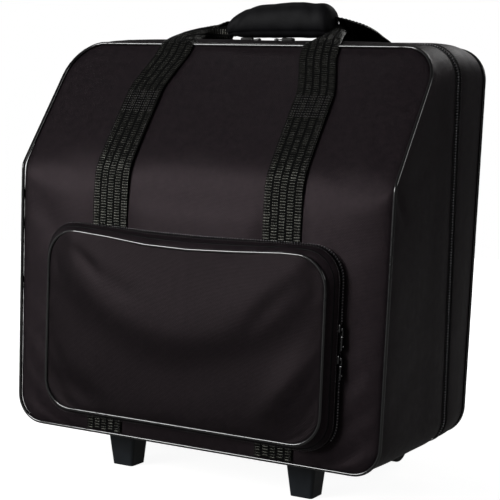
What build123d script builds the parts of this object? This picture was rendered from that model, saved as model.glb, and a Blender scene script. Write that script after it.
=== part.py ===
from build123d import *
import math
import os

# Soft padded accordion case with a sloping front, a zipped back lid, an outer pocket, a wrapped
# carry grip, stand feet in front, and wheels with a pull-out handle at the back.
# Millimetres. X runs across the case, depth Y is measured here from the flat lower front, growing
# towards the back, and Z is up from the floor. The finished part is moved so that Y = 0 is its middle.

# ---- driving dimensions ---------------------------------------------------------------------
GROUND = 55.0               # underside of the bag above the floor
WIDTH_TOP = 520.0           # bag width at the top
WIDTH_FOOT = 509.0          # bag width at the bottom
DEPTH = 273.0               # front panel to back panel
BEND = 332.0                # height of the bend in the front, above the bag's underside
SETBACK = 117.5             # how far the top front edge lies behind the lower front
FRONT_TOP = 493.3           # height of the top front edge above the bag's underside
CROWN = 502.0               # highest line of the bag above its underside
BEND_RADIUS = 26.0          # the padded front turns softly at the bend
WALL = 9.0                  # laminated cloth, foam and backing
LINING = 1.2                # loose inner lining
ZIP_BACK = 198.0            # depth of the main zipper at the bottom
ZIP_LEAN = 28.0             # and how much further forward it is at the top
ZIP_EDGE = 7.0              # half the width of the zipper strip between the padded edges
ZIP_GAP = 1.6               # half the slot between the two zipper halves
TAPE_SKIN = (1.0, 2.2)      # zipper tape, measured inwards from the bag's surface
BEAD_SKIN = (0.2, 3.6)      # raised row that carries the teeth
BEAD_WIDE = 1.9
HINGE_HALF = 196.0          # half the length of the sewn hinge along the bottom
HINGE_SKIN = (0.5, 2.5)
HINGE_HIGH = 20.0           # the hinge stays within this height of the underside

WEBBING = 50.0              # wide webbing of the carry straps
WEB_THICK = 2.0
STRAP_X = 120.0             # strap centre lines
SEWN_LOW = 3.0              # the front webbing is sewn down between these two heights
SEWN_TOP = 428.0
REAR_LOW = 128.0            # lowest point of the webbing on the back, above the floor
GRIP_Y = 203.0              # centre of the wrapped grip
GRIP_LOW = GROUND + 508.0   # underside of the grip
GRIP_DEEP = 43.0
GRIP_SPLIT = 10.3           # the wrap closes behind its centre
GRIP_SLOT = 0.7             # width of the closing line
FOLD_HIGH = 14.0            # webbing folded in four where it runs through the grip
FOLD_DEEP = 5.0
# Height of the wrap at places across the case: it closes tightly on the left webbing.
GRIP_SHAPE = [(-80, 17.0), (-64, 28.5), (-46, 36.5), (-20, 41.5), (30, 43.5), (66, 42.5), (77, 38.0),
              (80, 30.0)]

POCKET_HALF = 203.5         # pocket at the zipper
POCKET_LOW = 22.5
POCKET_HIGH = 261.0
POCKET_FACE_HALF = 192.0    # pocket at its front piping
POCKET_FACE_LOW = 31.0
POCKET_FACE_HIGH = 250.0
POCKET_DEPTH = 30.0
POCKET_CROWN = 6.0
POCKET_CORNER = 37.0
POCKET_CLOTH = 3.0
POCKET_ZIP_Y = -10.0
POCKET_GAP = 1.2
POCKET_STRIP = 5.0          # width of each half of its zipper
POCKET_WELT_Y = -21.5       # welt round its side, behind the front one

FOOT_X = 130.0
FOOT_FRONT = 46.0
FOOT_BACK = 87.0
FOOT_WIDE = 49.0
FOOT_SINK = 32.5            # the screw head sits this far up a well in the foot

WHEEL_X = 150.0
WHEEL_Y = 296.0
WHEEL_RADIUS = 30.0
WHEEL_WIDTH = 24.0
HUB_RADIUS = 23.0
AXLE_RADIUS = 4.0
AXLE_PLAY = 0.06
ARM_INSIDE = 128.0          # inner face of the arm that holds a wheel
ARM_WIDE = 44.0

TUBE_X = 70.0               # pull-out handle tubes
TUBE_Y = 288.0
TUBE_WIDE = 26.0            # fixed outer tubes
TUBE_DEEP = 16.0
TUBE_FOOT = 75.0
TUBE_TOP = 494.0
TUBE_STEP = 3.2             # each inner tube is this much narrower
TUBE_WALL = 1.2
COLLAR_LOW = 505.0
BEZEL_LOW = 484.0
HANDLE_HALF = 88.0
HANDLE_LOW = 511.5
HANDLE_TOP = 549.0
BAR_DEPTH = 24.0            # moulded handle bar, clear of the welt behind the lid
BACK_FACE = DEPTH + 0.3     # fittings on the back stand just off the cloth

BOARD_THICK = 3.0           # stiff board inside the lid
FAR = 800.0                 # cutting forms reach past the case on every side
ACROSS = (1, 0, 0)
BACKWARDS = (0, 1, 0)
UP = (0, 0, 1)
PIPING = 2.6                # radius of the welt round the case
CENTRE_Y = (WHEEL_Y + WHEEL_RADIUS - POCKET_DEPTH - POCKET_CROWN) / 2

# Sections of the bag along its depth: depth, top height, side bulge, top and bottom corner radius.
SECTIONS = [
    (SETBACK, FRONT_TOP, 0.0, 44.0, 34.0),
    (152.0, 498.6, 2.0, 44.0, 34.5),
    (195.0, CROWN, 3.0, 43.0, 35.0),
    (235.0, CROWN - 0.1, 2.0, 42.0, 36.0),
    (DEPTH, 499.0, 0.0, 40.0, 38.0),
]

SLOPE_LENGTH = math.hypot(SETBACK, FRONT_TOP - BEND)
SLOPE_Y = SETBACK / SLOPE_LENGTH
SLOPE_Z = (FRONT_TOP - BEND) / SLOPE_LENGTH
FRONT_NORMAL = Vector(0, -SLOPE_Z, SLOPE_Y)


# ---- small helpers --------------------------------------------------------------------------
def front_plane(y, z=0.0):
    """Upright plane at depth y, drawn as seen from the front: local x is X, local y is Z."""
    return Plane(origin=(0, y, z), x_dir=ACROSS, z_dir=(0, -1, 0))


def side_plane(x):
    """Upright plane at x, drawn with depth Y across and Z up."""
    return Plane(origin=(x, 0, 0), x_dir=BACKWARDS, z_dir=ACROSS)


def brick(x0, x1, y0, y1, z0, z1):
    """Box between two corners."""
    return Pos((x0 + x1) / 2, (y0 + y1) / 2, (z0 + z1) / 2) * Box(x1 - x0, y1 - y0, z1 - z0)


def both_sides(shape):
    """The shape and its mirror image across the middle of the case, as separate solids."""
    return Compound(children=[shape, mirror(shape, about=Plane.YZ)])


def solids(*shapes):
    """Separate solids kept together in one node."""
    return Compound(children=[solid for shape in shapes for solid in shape.solids()])


def round_face(points, radii, plane):
    """Closed outline with a rounded corner at every point."""
    return plane * make_face(FilletPolyline(*points, radius=radii, close=True))


def rod(x, y, z, radius, length, axis):
    """Cylinder starting at a point and running along an axis."""
    return Plane(origin=(x, y, z), z_dir=axis) * Cylinder(radius, length, align=(Align.CENTER,
                                                          Align.CENTER, Align.MIN))


# ---- the padded bag -------------------------------------------------------------------------
def section_at(y):
    """Values of the bag's section at any depth, straight between the listed sections."""
    if y <= SECTIONS[0][0]:
        return SECTIONS[0][1:]
    for near, far in zip(SECTIONS, SECTIONS[1:]):
        if y <= far[0]:
            t = (y - near[0]) / (far[0] - near[0])
            return tuple(a + (b - a) * t for a, b in zip(near[1:], far[1:]))
    return SECTIONS[-1][1:]


def bag_section(y, inset):
    """Outline of the bag across X and Z at one depth, moved inwards all round."""
    top, bulge, r_top, r_foot = section_at(y)
    foot = WIDTH_FOOT / 2 + bulge - inset
    head = WIDTH_TOP / 2 + bulge - inset
    low = GROUND + inset
    high = GROUND + top - inset
    points = [(-foot, low), (foot, low), (head, high), (-head, high)]
    r_low = max(r_foot - inset, 8.0)
    r_high = max(r_top - inset, 8.0)
    return round_face(points, [r_low, r_low, r_high, r_high], front_plane(y))


def side_profile(inset):
    """Everything behind the bent front, seen from the side, as a face to extrude across."""
    bend_z = GROUND + BEND - inset * math.tan(math.atan2(SLOPE_Y, SLOPE_Z) / 2)
    reach = 260.0
    top = bend_z + reach * SLOPE_Z
    points = [(inset, -GROUND), (inset, bend_z), (inset + reach * SLOPE_Y, top), (FAR, top),
              (FAR, -GROUND)]
    bend = max(BEND_RADIUS - inset, 8.0)
    return round_face(points, [1.0, bend, 1.0, 1.0, 1.0], side_plane(0))


def behind_front(inset):
    """Half-space behind the bent front moved inwards."""
    return extrude(side_profile(inset), FAR / 2, both=True)


def bag(inset):
    """The whole closed bag as one form, every face moved inwards."""
    front = extrude(bag_section(SETBACK, inset), SETBACK + POCKET_DEPTH)
    depths = [s[0] for s in SECTIONS[:-1]] + [DEPTH - inset]
    rear = loft([bag_section(y, inset) for y in depths], ruled=True)
    return (front + rear) & behind_front(inset)


def zip_frame():
    """Plane of the main zipper, leaning forward at the top; its normal points to the back."""
    return Plane(origin=(0, ZIP_BACK, GROUND), x_dir=(1, 0, 0), z_dir=(0, CROWN, ZIP_LEAN))


def zip_slab(start, end):
    """Slice of space between two distances behind the zipper plane."""
    middle = (start + end) / 2
    return zip_frame() * Pos(0, 0, middle) * Box(2 * FAR, 2 * FAR, end - start)


def bag_parts():
    """Padded panels, lining and zipper halves of the front shell and the lid."""
    outer = bag(0)
    inner = bag(WALL)
    lining_inner = bag(WALL + LINING)
    shell_side = zip_slab(-FAR, -ZIP_EDGE)
    lid_side = zip_slab(ZIP_EDGE, FAR)
    front_shell = outer & shell_side
    lid_shell = outer & lid_side
    inside_front = behind_front(WALL)
    behind_back = brick(-FAR, FAR, DEPTH - WALL, FAR, 0, FAR)
    front_welt = front_welt_solid(PIPING)
    back_welt = back_welt_solid(PIPING)
    front_panel = front_shell - inside_front - front_welt
    shell_gusset = ((front_shell & inside_front) - inner) - front_welt
    back_panel = (lid_shell & behind_back) - back_welt
    lid_gusset = (lid_shell - behind_back) - inner - back_welt
    lining = inner - lining_inner
    return {
        "front_panel": front_panel,
        "shell_gusset": shell_gusset,
        "shell_lining": lining & shell_side,
        "front_piping": front_welt,
        "back_panel": back_panel,
        "lid_gusset": lid_gusset,
        "lid_lining": lining & lid_side,
        "back_piping": back_welt,
    }


def front_welt_solid(radius):
    """Welt round the bent front: an upright loop and a sloping loop that meet at the bend."""
    foot = WIDTH_FOOT / 2
    head = WIDTH_TOP / 2
    at_bend = foot + (head - foot) * BEND / FRONT_TOP
    r_foot = SECTIONS[0][4]
    lower = FilletPolyline((-at_bend, GROUND + BEND), (-foot, GROUND), (foot, GROUND),
                           (at_bend, GROUND + BEND), radius=[r_foot, r_foot])
    lower = front_plane(0) * lower
    slope = Plane(origin=(0, 0, GROUND + BEND), x_dir=(1, 0, 0), z_dir=FRONT_NORMAL)
    r_top = SECTIONS[0][3]
    r_slope = r_top / SLOPE_Z
    turn = SLOPE_LENGTH - r_slope
    corner_x = head - r_top
    side = Line((at_bend, 0), (head, turn))
    corner = EllipticalCenterArc((corner_x, turn), r_top, r_slope, start_angle=0, arc_size=90)
    top = Line((corner_x, SLOPE_LENGTH), (0, SLOPE_LENGTH))
    half = slope * Wire([side.edge(), corner.edge(), top.edge()])
    lower_tube = tube_along(lower, radius)
    half_tube = tube_along(half, radius)
    joint = Pos(at_bend, 0, GROUND + BEND) * Sphere(radius)
    upper = half_tube + joint
    return lower_tube + upper + mirror(upper, about=Plane.YZ)


def back_welt_solid(radius):
    """Welt round the edge of the back panel."""
    outline = bag_section(DEPTH, 0).face().outer_wire()
    return tube_along(outline, radius)


def tube_along(path, radius):
    """Round cord of one radius along a smooth path."""
    start = path @ 0
    return sweep(Plane(origin=start, z_dir=path % 0) * Circle(radius), path=path)


def zipper_half(start, end, bead_start, bead_end):
    """One half of the main zipper: flat tape with the raised row that carries the teeth."""
    tape = skin(TAPE_SKIN) & zip_slab(start, end)
    bead = skin(BEAD_SKIN) & zip_slab(bead_start, bead_end)
    return (tape + bead) - under_bag(HINGE_HALF)


def skin(span):
    """Layer of the bag's surface between two distances inwards from it."""
    return bag(span[0]) - bag(span[1])


def under_bag(half):
    """Space along the bottom of the bag where the sewn hinge takes the zipper's place."""
    return brick(-half, half, 0, FAR, 0, GROUND + HINGE_HIGH)


def zipper_parts():
    """Both zipper halves and the cloth hinge between them along the bottom."""
    bead = ZIP_GAP + BEAD_WIDE
    clear = 0.8
    hinge = skin(HINGE_SKIN) & zip_slab(-ZIP_EDGE, ZIP_EDGE - clear) & under_bag(HINGE_HALF - 1)
    return {
        "shell_zip_tape": zipper_half(-ZIP_EDGE, -ZIP_GAP, -bead, -ZIP_GAP),
        "lid_zip_tape": zipper_half(ZIP_GAP, ZIP_EDGE, ZIP_GAP, bead),
        "cloth_hinge": hinge,
    }


# ---- carry straps and grip ------------------------------------------------------------------
def sewn_strap(x, low, high):
    """Webbing sewn flat on the bent front between two heights."""
    layer = behind_front(-WEB_THICK) - behind_front(0)
    return layer & brick(x - WEBBING / 2, x + WEBBING / 2, -POCKET_DEPTH, DEPTH,
                         GROUND + low, GROUND + high)


def band_section(centre, across, normal, width, thickness):
    """Cross-section of loose webbing."""
    along = Vector(across).cross(Vector(normal))
    plane = Plane(origin=centre, x_dir=across, z_dir=along)
    return plane * Rectangle(width, thickness)


def folded_band(half, y, low):
    """Webbing folded in four that runs across between two places, inside the grip."""
    return brick(-half, half, y - FOLD_DEEP / 2, y + FOLD_DEEP / 2, low, low + FOLD_HIGH)


def front_loose_strap():
    """Loose right half of the front strap: up the slope, over the edge, back to the grip."""
    lap = SEWN_TOP - 3.0
    start_y = (lap - BEND) / (FRONT_TOP - BEND) * SETBACK
    on_slope = (0, -SLOPE_Z, SLOPE_Y)
    start = Vector(STRAP_X, start_y, GROUND + lap) + FRONT_NORMAL * (WEB_THICK / 2)
    stations = [
        (start, on_slope, WEBBING, WEB_THICK),
        (Vector(114, 83, GROUND + 461), on_slope, WEBBING, WEB_THICK),
        (Vector(106, 112, GROUND + 499), (0, -0.62, 0.78), WEBBING - 1, WEB_THICK),
        (Vector(104, 132, GROUND + 508), (0, -0.25, 0.97), WEBBING - 4, WEB_THICK + 0.5),
        (Vector(104, 165, GROUND + 513), (0, -0.08, 1.0), WEBBING - 12, WEB_THICK + 2),
        (Vector(103, GRIP_Y - 3, GROUND + 515.5), (0, 0.0, 1.0), 26.0, 7.0),
    ]
    return loft([band_section(c, (1, 0, 0), n, w, t) for c, n, w, t in stations], ruled=True)


def front_strap():
    """Front webbing: sewn up the front on both sides and folded through the grip."""
    low = GRIP_LOW + 1.5
    folded = brick(90, 116, GRIP_Y - 6, GRIP_Y + 2, low - 1, low + FOLD_HIGH + 1)
    side = sewn_strap(STRAP_X, SEWN_LOW, SEWN_TOP) + front_loose_strap() + folded
    return side + folded_band(92, GRIP_Y - 1.5, low) + mirror(side, about=Plane.YZ)


def rear_strap():
    """Rear webbing: sewn on the back panel and folded through the closing half of the grip."""
    sewn_y = DEPTH + 0.6
    sewn_top = 537.0
    middle = sewn_y + WEB_THICK / 2
    fold_y = GRIP_Y + GRIP_SPLIT + GRIP_SLOT + 0.4 + FOLD_DEEP / 2
    stations = [
        (Vector(STRAP_X, middle, sewn_top - 1), (0, 1, 0), WEBBING, WEB_THICK),
        (Vector(118, DEPTH + 4.5, 550), (0, 1, 0), WEBBING, WEB_THICK),
        (Vector(115, DEPTH + 2.5, 562), (0, 0.9, 0.44), WEBBING, WEB_THICK),
        (Vector(109, DEPTH - 10, 571), (0, 0.5, 0.87), WEBBING - 6, WEB_THICK),
        (Vector(102, DEPTH - 34, 576), (0, 0.2, 0.98), WEBBING - 16, WEB_THICK + 2),
        (Vector(98, fold_y, 576), (0, 0.0, 1.0), 26.0, 7.0),
    ]
    loose = loft([band_section(c, (1, 0, 0), n, w, t) for c, n, w, t in stations], ruled=True)
    sewn = brick(STRAP_X - WEBBING / 2, STRAP_X + WEBBING / 2, sewn_y, sewn_y + WEB_THICK,
                 REAR_LOW, sewn_top)
    low = GRIP_LOW + 3.0
    folded = brick(85, 111, fold_y - 2.6, fold_y + 5, low - 1, low + FOLD_HIGH + 3)
    side = sewn + loose + folded
    return side + folded_band(87, fold_y, low) + mirror(side, about=Plane.YZ)


def grip_form():
    """Wrapped roll with a straight underside; its height changes along it."""
    sections = []
    for x, height in GRIP_SHAPE:
        deep = GRIP_DEEP * (0.55 + 0.45 * height / GRIP_DEEP)
        outline = RectangleRounded(deep, height, 0.49 * min(height, deep))
        sections.append(Plane(origin=(x, GRIP_Y, GRIP_LOW + height / 2), x_dir=(0, 1, 0),
                              z_dir=(1, 0, 0)) * outline)
    return loft(sections, ruled=True)


def grip_parts():
    """Padded wrap in two halves that close on each other behind the centre."""
    roll = grip_form()
    front_web = front_strap()
    rear_web = rear_strap()
    split = GRIP_Y + GRIP_SPLIT
    front_half = (roll & brick(-FAR, FAR, 0, split, 0, FAR)) - front_web
    rear_half = (roll & brick(-FAR, FAR, split + GRIP_SLOT, FAR, 0, FAR)) - rear_web
    return {
        "front_carry_strap": front_web,
        "rear_carry_strap": rear_web,
        "grip_wrap": front_half,
        "grip_closing_flap": rear_half,
    }


# ---- front pocket ---------------------------------------------------------------------------
POCKET_STRAIGHT = POCKET_ZIP_Y - POCKET_STRIP    # depth where the sides begin to taper


def pocket_outline(y, inset):
    """Outline of the pocket at one depth: straight as far as the zipper, then tapering."""
    t = max(0.0, (POCKET_STRAIGHT - y) / (POCKET_DEPTH + POCKET_STRAIGHT))
    half = POCKET_HALF + (POCKET_FACE_HALF - POCKET_HALF) * t - inset
    low = GROUND + POCKET_LOW + (POCKET_FACE_LOW - POCKET_LOW) * t + inset
    high = GROUND + POCKET_HIGH + (POCKET_FACE_HIGH - POCKET_HIGH) * t - inset
    corner = max(POCKET_CORNER - inset, 6.0)
    points = [(-half, low), (half, low), (half, high), (-half, high)]
    return round_face(points, [corner] * 4, front_plane(y))


def pocket_ring(back, front, outer, inner):
    """Straight band of the pocket wall between two depths."""
    band = extrude(pocket_outline(back, outer), back - front)
    return band - extrude(pocket_outline(back, inner), back - front)


def pocket_form(inset, back, front, crown):
    """Closed form of the pocket's front: tapering sides and a crowned face."""
    shoulder = 17.0
    flat = 52.0
    steps = [(back, inset), (front, inset), (front - crown * 0.62, inset + shoulder),
             (front - crown, inset + flat)]
    outlines = []
    for y, in_by in steps:
        held = max(y, -POCKET_DEPTH)
        outlines.append(Pos(0, y - held, 0) * pocket_outline(held, in_by))
    return loft(outlines, ruled=True)


def pocket_tape(start, end, bead_start, bead_end):
    """One half of the pocket's zipper: flat tape with its raised row."""
    tape = pocket_ring(start, end, 0.6, 1.8)
    return tape + pocket_ring(bead_start, bead_end, 0.1, 3.3)


def pocket_parts():
    """Fixed pocket frame, zipper halves, and the cover that folds down."""
    straight = POCKET_STRAIGHT
    strip = POCKET_ZIP_Y + POCKET_STRIP
    gap_back = POCKET_ZIP_Y + POCKET_GAP
    gap_front = POCKET_ZIP_Y - POCKET_GAP
    straps = both_sides(sewn_strap(STRAP_X, SEWN_LOW, SEWN_TOP))
    frame = pocket_ring(0, strip, 0, POCKET_CLOTH) - straps
    base_tape = pocket_tape(strip, gap_back, gap_back + BEAD_WIDE, gap_back)
    cover_tape = pocket_tape(gap_front, straight, gap_front, gap_front - BEAD_WIDE)
    outer = pocket_form(0, straight, -POCKET_DEPTH, POCKET_CROWN)
    inner = pocket_form(POCKET_CLOTH, straight, -POCKET_DEPTH + POCKET_CLOTH, POCKET_CROWN)
    front_welt = 2.2
    side_welt = 1.5
    piping = tube_along(pocket_outline(-POCKET_DEPTH, 0).face().outer_wire(), front_welt)
    welt = tube_along(pocket_outline(POCKET_WELT_Y, 0.4).face().outer_wire(), side_welt)
    return {
        "pocket_frame": frame,
        "pocket_zip_tape_back": base_tape,
        "pocket_zip_tape_front": cover_tape,
        "pocket_cover": outer - inner - piping - welt,
        "pocket_piping": piping,
        "pocket_welt": welt,
    }


# ---- zipper sliders and pulls ---------------------------------------------------------------
PLATE_HALF = 6.0            # slider body, half its length along the zipper
PLATE_WIDE = 5.4            # half its width
PIN_HEIGHT = 3.6            # pull pin above the cloth


def slider():
    """Zipper slider in its own frame: x along the zipper, z out of the cloth, y across."""
    nose = 2.2
    outline = [(-PLATE_HALF, -PLATE_WIDE), (PLATE_HALF - nose, -PLATE_WIDE), (PLATE_HALF, 0),
               (PLATE_HALF - nose, PLATE_WIDE), (-PLATE_HALF, PLATE_WIDE)]
    plate = make_face(FilletPolyline(*outline, radius=[1.2] * 5, close=True))
    upper = Pos(0, 0, 0.35) * extrude(plate, 1.5)
    lower = Pos(0, 0, -5.6) * extrude(plate, 1.4)
    post = Pos(2.4, 0, -4.3) * extrude(Rectangle(3.0, 1.4), 4.8)
    lug = Pos(0, 2.9, 1.8) * extrude(RectangleRounded(3.4, 1.2, 0.5), PIN_HEIGHT - 0.7)
    lugs = lug + mirror(lug, about=Plane.XZ)
    pin = rod(0, -2.6, PIN_HEIGHT, 0.7, 5.2, BACKWARDS)
    return upper + lower + post + lugs + pin


def pull(length):
    """Pull tab in the slider's frame, lying along -x from its pin."""
    eye = Rotation(90, 0, 0) * extrude(Circle(1.6), 1.8, both=True)
    neck = brick(-7, -1.0, -1.7, 1.7, -0.8, 0.8)
    tab_centre = -(7 + (length - 7) / 2)
    tab = Pos(tab_centre, 0, -0.8) * extrude(RectangleRounded(length - 6, 7.0, 2.4), 1.6)
    hole = Pos(-length + 5.5, 0, -2) * Cylinder(1.6, 8)
    bore = Rotation(90, 0, 0) * Cylinder(0.95, 12)
    return Pos(0, 0, PIN_HEIGHT) * (eye + neck + tab - hole - bore)


MAIN_SLIDERS = {"left": -13.0, "right": 13.0}
POCKET_SLIDERS = {"upper": GROUND + 168.0, "lower": GROUND + 134.0}
PULL_LENGTH = 25.0


def top_of_zip():
    """Depth and height of the bag's surface on the zipper line at the top."""
    y = ZIP_BACK - ZIP_LEAN
    near, far = SECTIONS[1], SECTIONS[2]
    return y, GROUND + near[1] + (far[1] - near[1]) * (y - near[0]) / (far[0] - near[0])


def slider_parts():
    """Two sliders on the top of the main zipper and two on the pocket, each with its pull."""
    y, z = top_of_zip()
    parts = {}
    up = Vector(0, -ZIP_LEAN, CROWN).normalized()
    for name, x in MAIN_SLIDERS.items():
        travel = (1, 0, 0) if name == "left" else (-1, 0, 0)
        seat = Plane(origin=(x, y, z), x_dir=travel, z_dir=up)
        parts["main_slider_" + name] = seat * slider()
        parts["main_pull_" + name] = seat * pull(PULL_LENGTH)
    for name, height in POCKET_SLIDERS.items():
        nose = (0, 0, -1) if name == "upper" else (0, 0, 1)
        seat = Plane(origin=(POCKET_HALF, POCKET_ZIP_Y, height), x_dir=nose, z_dir=(1, 0, 0))
        hang = Plane(origin=(POCKET_HALF, POCKET_ZIP_Y, height), x_dir=(0, 0, 1), z_dir=(1, 0, 0))
        parts["pocket_slider_" + name] = seat * slider()
        parts["pocket_pull_" + name] = hang * pull(PULL_LENGTH)
    return parts


# ---- feet and boards ------------------------------------------------------------------------
def foot_parts():
    """Tapered stand feet, screwed through the stiff board inside the bottom."""
    middle = (FOOT_FRONT + FOOT_BACK) / 2
    deep = FOOT_BACK - FOOT_FRONT
    waist_high = GROUND - 14
    top = Pos(FOOT_X, middle, GROUND) * RectangleRounded(FOOT_WIDE, deep, 6)
    waist = Pos(FOOT_X, middle + 2.2, waist_high) * RectangleRounded(FOOT_WIDE - 9, deep - 4.4, 5)
    toe = Pos(FOOT_X, middle + 5, 0) * RectangleRounded(FOOT_WIDE - 19, deep - 10, 4)
    foot = loft([toe, waist], ruled=True) + loft([waist, top], ruled=True)
    board_low = GROUND + WALL + LINING
    board_thick = 4.0
    head_high = 4.5
    screw_y = middle + 4
    under_head = FOOT_SINK + head_high
    well = rod(FOOT_X, screw_y, -1, 7.5, under_head + 1, UP)
    head = rod(FOOT_X, screw_y, FOOT_SINK, 5.0, head_high, UP)
    shank = rod(FOOT_X, screw_y, under_head, 2.5, board_low + board_thick - 0.7 - under_head, UP)
    screw = head + shank
    plate = extrude(Pos(0, 0, board_low) * base_board_face(), board_thick)
    screws = both_sides(screw)
    return {
        "foot_left": mirror(foot - well - screw, about=Plane.YZ),
        "foot_right": foot - well - screw,
        "foot_screws": screws,
        "base_board": plate - screws,
    }


def base_board_face():
    """Stiff board that lies in the bottom of the front shell."""
    y0 = WALL + LINING + 3
    y1 = ZIP_BACK - ZIP_EDGE - 4
    wide = WIDTH_FOOT - 77
    return Pos(0, (y0 + y1) / 2, 0) * RectangleRounded(wide, y1 - y0, 12)


def inner_strap_parts():
    """Two webbing ends, sewn inside the shell's side walls, that tie the instrument down."""
    lined = WALL + LINING
    woven = lined + 1.6
    doubled = woven + 1.8
    side = WIDTH_FOOT / 2 - 50
    webbing = skin((lined, woven)) & brick(side, FAR, 95, 133, GROUND + 96, GROUND + 318)
    end = skin((woven, doubled)) & brick(side, FAR, 97, 131, GROUND + 100, GROUND + 190)
    strap = webbing + end
    return {"inner_strap_right": strap, "inner_strap_left": mirror(strap, about=Plane.YZ)}


# ---- wheels and pull-out handle -------------------------------------------------------------
CARRIAGE_LOW = 66.0         # the moulded carriage covers this much of the foot of the back
CARRIAGE_HIGH = 112.0
FITTING_BACK = 303.0        # rear face of the fittings on the back


def arm_face():
    """Side view of a wheel arm: a tall root on the back panel and a nose round the axle."""
    points = [(BACK_FACE, CARRIAGE_LOW), (BACK_FACE, CARRIAGE_HIGH), (298, CARRIAGE_HIGH),
              (318, 90), (318, 62), (310, 30), (284, 32), (280, 60)]
    radii = [2, 6, 10, 10, 12, 2, 2, 4]
    arm = side_plane(0) * make_face(FilletPolyline(*points, radius=radii, close=True))
    nose = side_plane(0) * (Pos(WHEEL_Y, WHEEL_RADIUS) * Circle(14))
    return arm + nose


def wheel_base():
    """Moulded carriage across the foot of the back panel with an arm over each wheel."""
    beam = brick(-ARM_INSIDE - 2, ARM_INSIDE + 2, BACK_FACE, FITTING_BACK, CARRIAGE_LOW,
                 CARRIAGE_HIGH)
    beam = fillet(beam.edges().filter_by(Axis.X).group_by(Axis.Y)[-1], 7)
    arm = Pos(ARM_INSIDE, 0, 0) * extrude(arm_face(), ARM_WIDE)
    well_wide = WHEEL_WIDTH + 4
    hub = Pos(WHEEL_X, WHEEL_Y, WHEEL_RADIUS) * Rotation(0, 90, 0)
    well = hub * Cylinder(WHEEL_RADIUS + 3.2, well_wide)
    open_foot = brick(WHEEL_X - well_wide / 2, WHEEL_X + well_wide / 2, WHEEL_Y - 33, FAR,
                      -5, WHEEL_RADIUS)
    arm = arm - well - open_foot
    socket = brick(TUBE_X - TUBE_WIDE / 2, TUBE_X + TUBE_WIDE / 2, TUBE_Y - TUBE_DEEP / 2,
                   TUBE_Y + TUBE_DEEP / 2, TUBE_FOOT, CARRIAGE_HIGH + 1)
    base = beam + arm + mirror(arm, about=Plane.YZ) - both_sides(socket)
    return base - both_sides(axle())


def axle():
    """Steel axle pin through both cheeks of the right arm, with a flat head outside."""
    pin = rod(ARM_INSIDE, WHEEL_Y, WHEEL_RADIUS, AXLE_RADIUS, ARM_WIDE, ACROSS)
    head = rod(ARM_INSIDE + ARM_WIDE, WHEEL_Y, WHEEL_RADIUS, 6.5, 2.0, ACROSS)
    return pin + head


def wheel_parts():
    """One wheel on the right: tyre, spoked hub and plain bush; the left one mirrors it."""
    bush_radius = 6.0
    spokes = 5
    dish_out = 8.2
    tyre = revolved_ring(HUB_RADIUS, WHEEL_RADIUS, WHEEL_WIDTH, 4.0)
    hub = revolved_ring(bush_radius, HUB_RADIUS, WHEEL_WIDTH - 3, 1.0)
    dish = revolved_ring(9.5, HUB_RADIUS - 3.5, 7.0, 0.6)
    hub = hub - Pos(dish_out, 0, 0) * dish - Pos(-dish_out, 0, 0) * dish
    opening = Pos(0, 0, 14.2) * Rotation(0, 90, 0) * Cylinder(3.6, 2 * WHEEL_WIDTH)
    for turn in range(spokes):
        hub = hub - Rotation(turn * 360 / spokes, 0, 0) * opening
    bore = Cylinder(AXLE_RADIUS + AXLE_PLAY, 2 * WHEEL_WIDTH)
    bush = Rotation(0, 90, 0) * (Cylinder(bush_radius, WHEEL_WIDTH + 2) - bore)
    place = Pos(WHEEL_X, WHEEL_Y, WHEEL_RADIUS)
    right = {"tyre": place * tyre, "wheel_hub": place * hub, "wheel_bush": place * bush}
    parts = {}
    for name, shape in right.items():
        parts[name + "_right"] = shape
        parts[name + "_left"] = mirror(shape, about=Plane.YZ)
    return parts


def revolved_ring(inner, outer, width, edge):
    """Ring about the X axis with rounded outer edges."""
    half = width / 2
    points = [(-half, inner), (half, inner), (half, outer), (-half, outer)]
    profile = make_face(FilletPolyline(*points, radius=[0.3, 0.3, edge, edge], close=True))
    return revolve(profile, axis=Axis.X)


def square_tube(wide, deep, wall, low, high):
    """Flat-sided tube standing on its end at the right handle line."""
    outer = extrude(RectangleRounded(wide, deep, 3.0), high - low)
    bore_corner = max(3.0 - wall, 0.6)
    bore = extrude(RectangleRounded(wide - 2 * wall, deep - 2 * wall, bore_corner), high - low)
    return Pos(TUBE_X, TUBE_Y, low) * (outer - bore)


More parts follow.
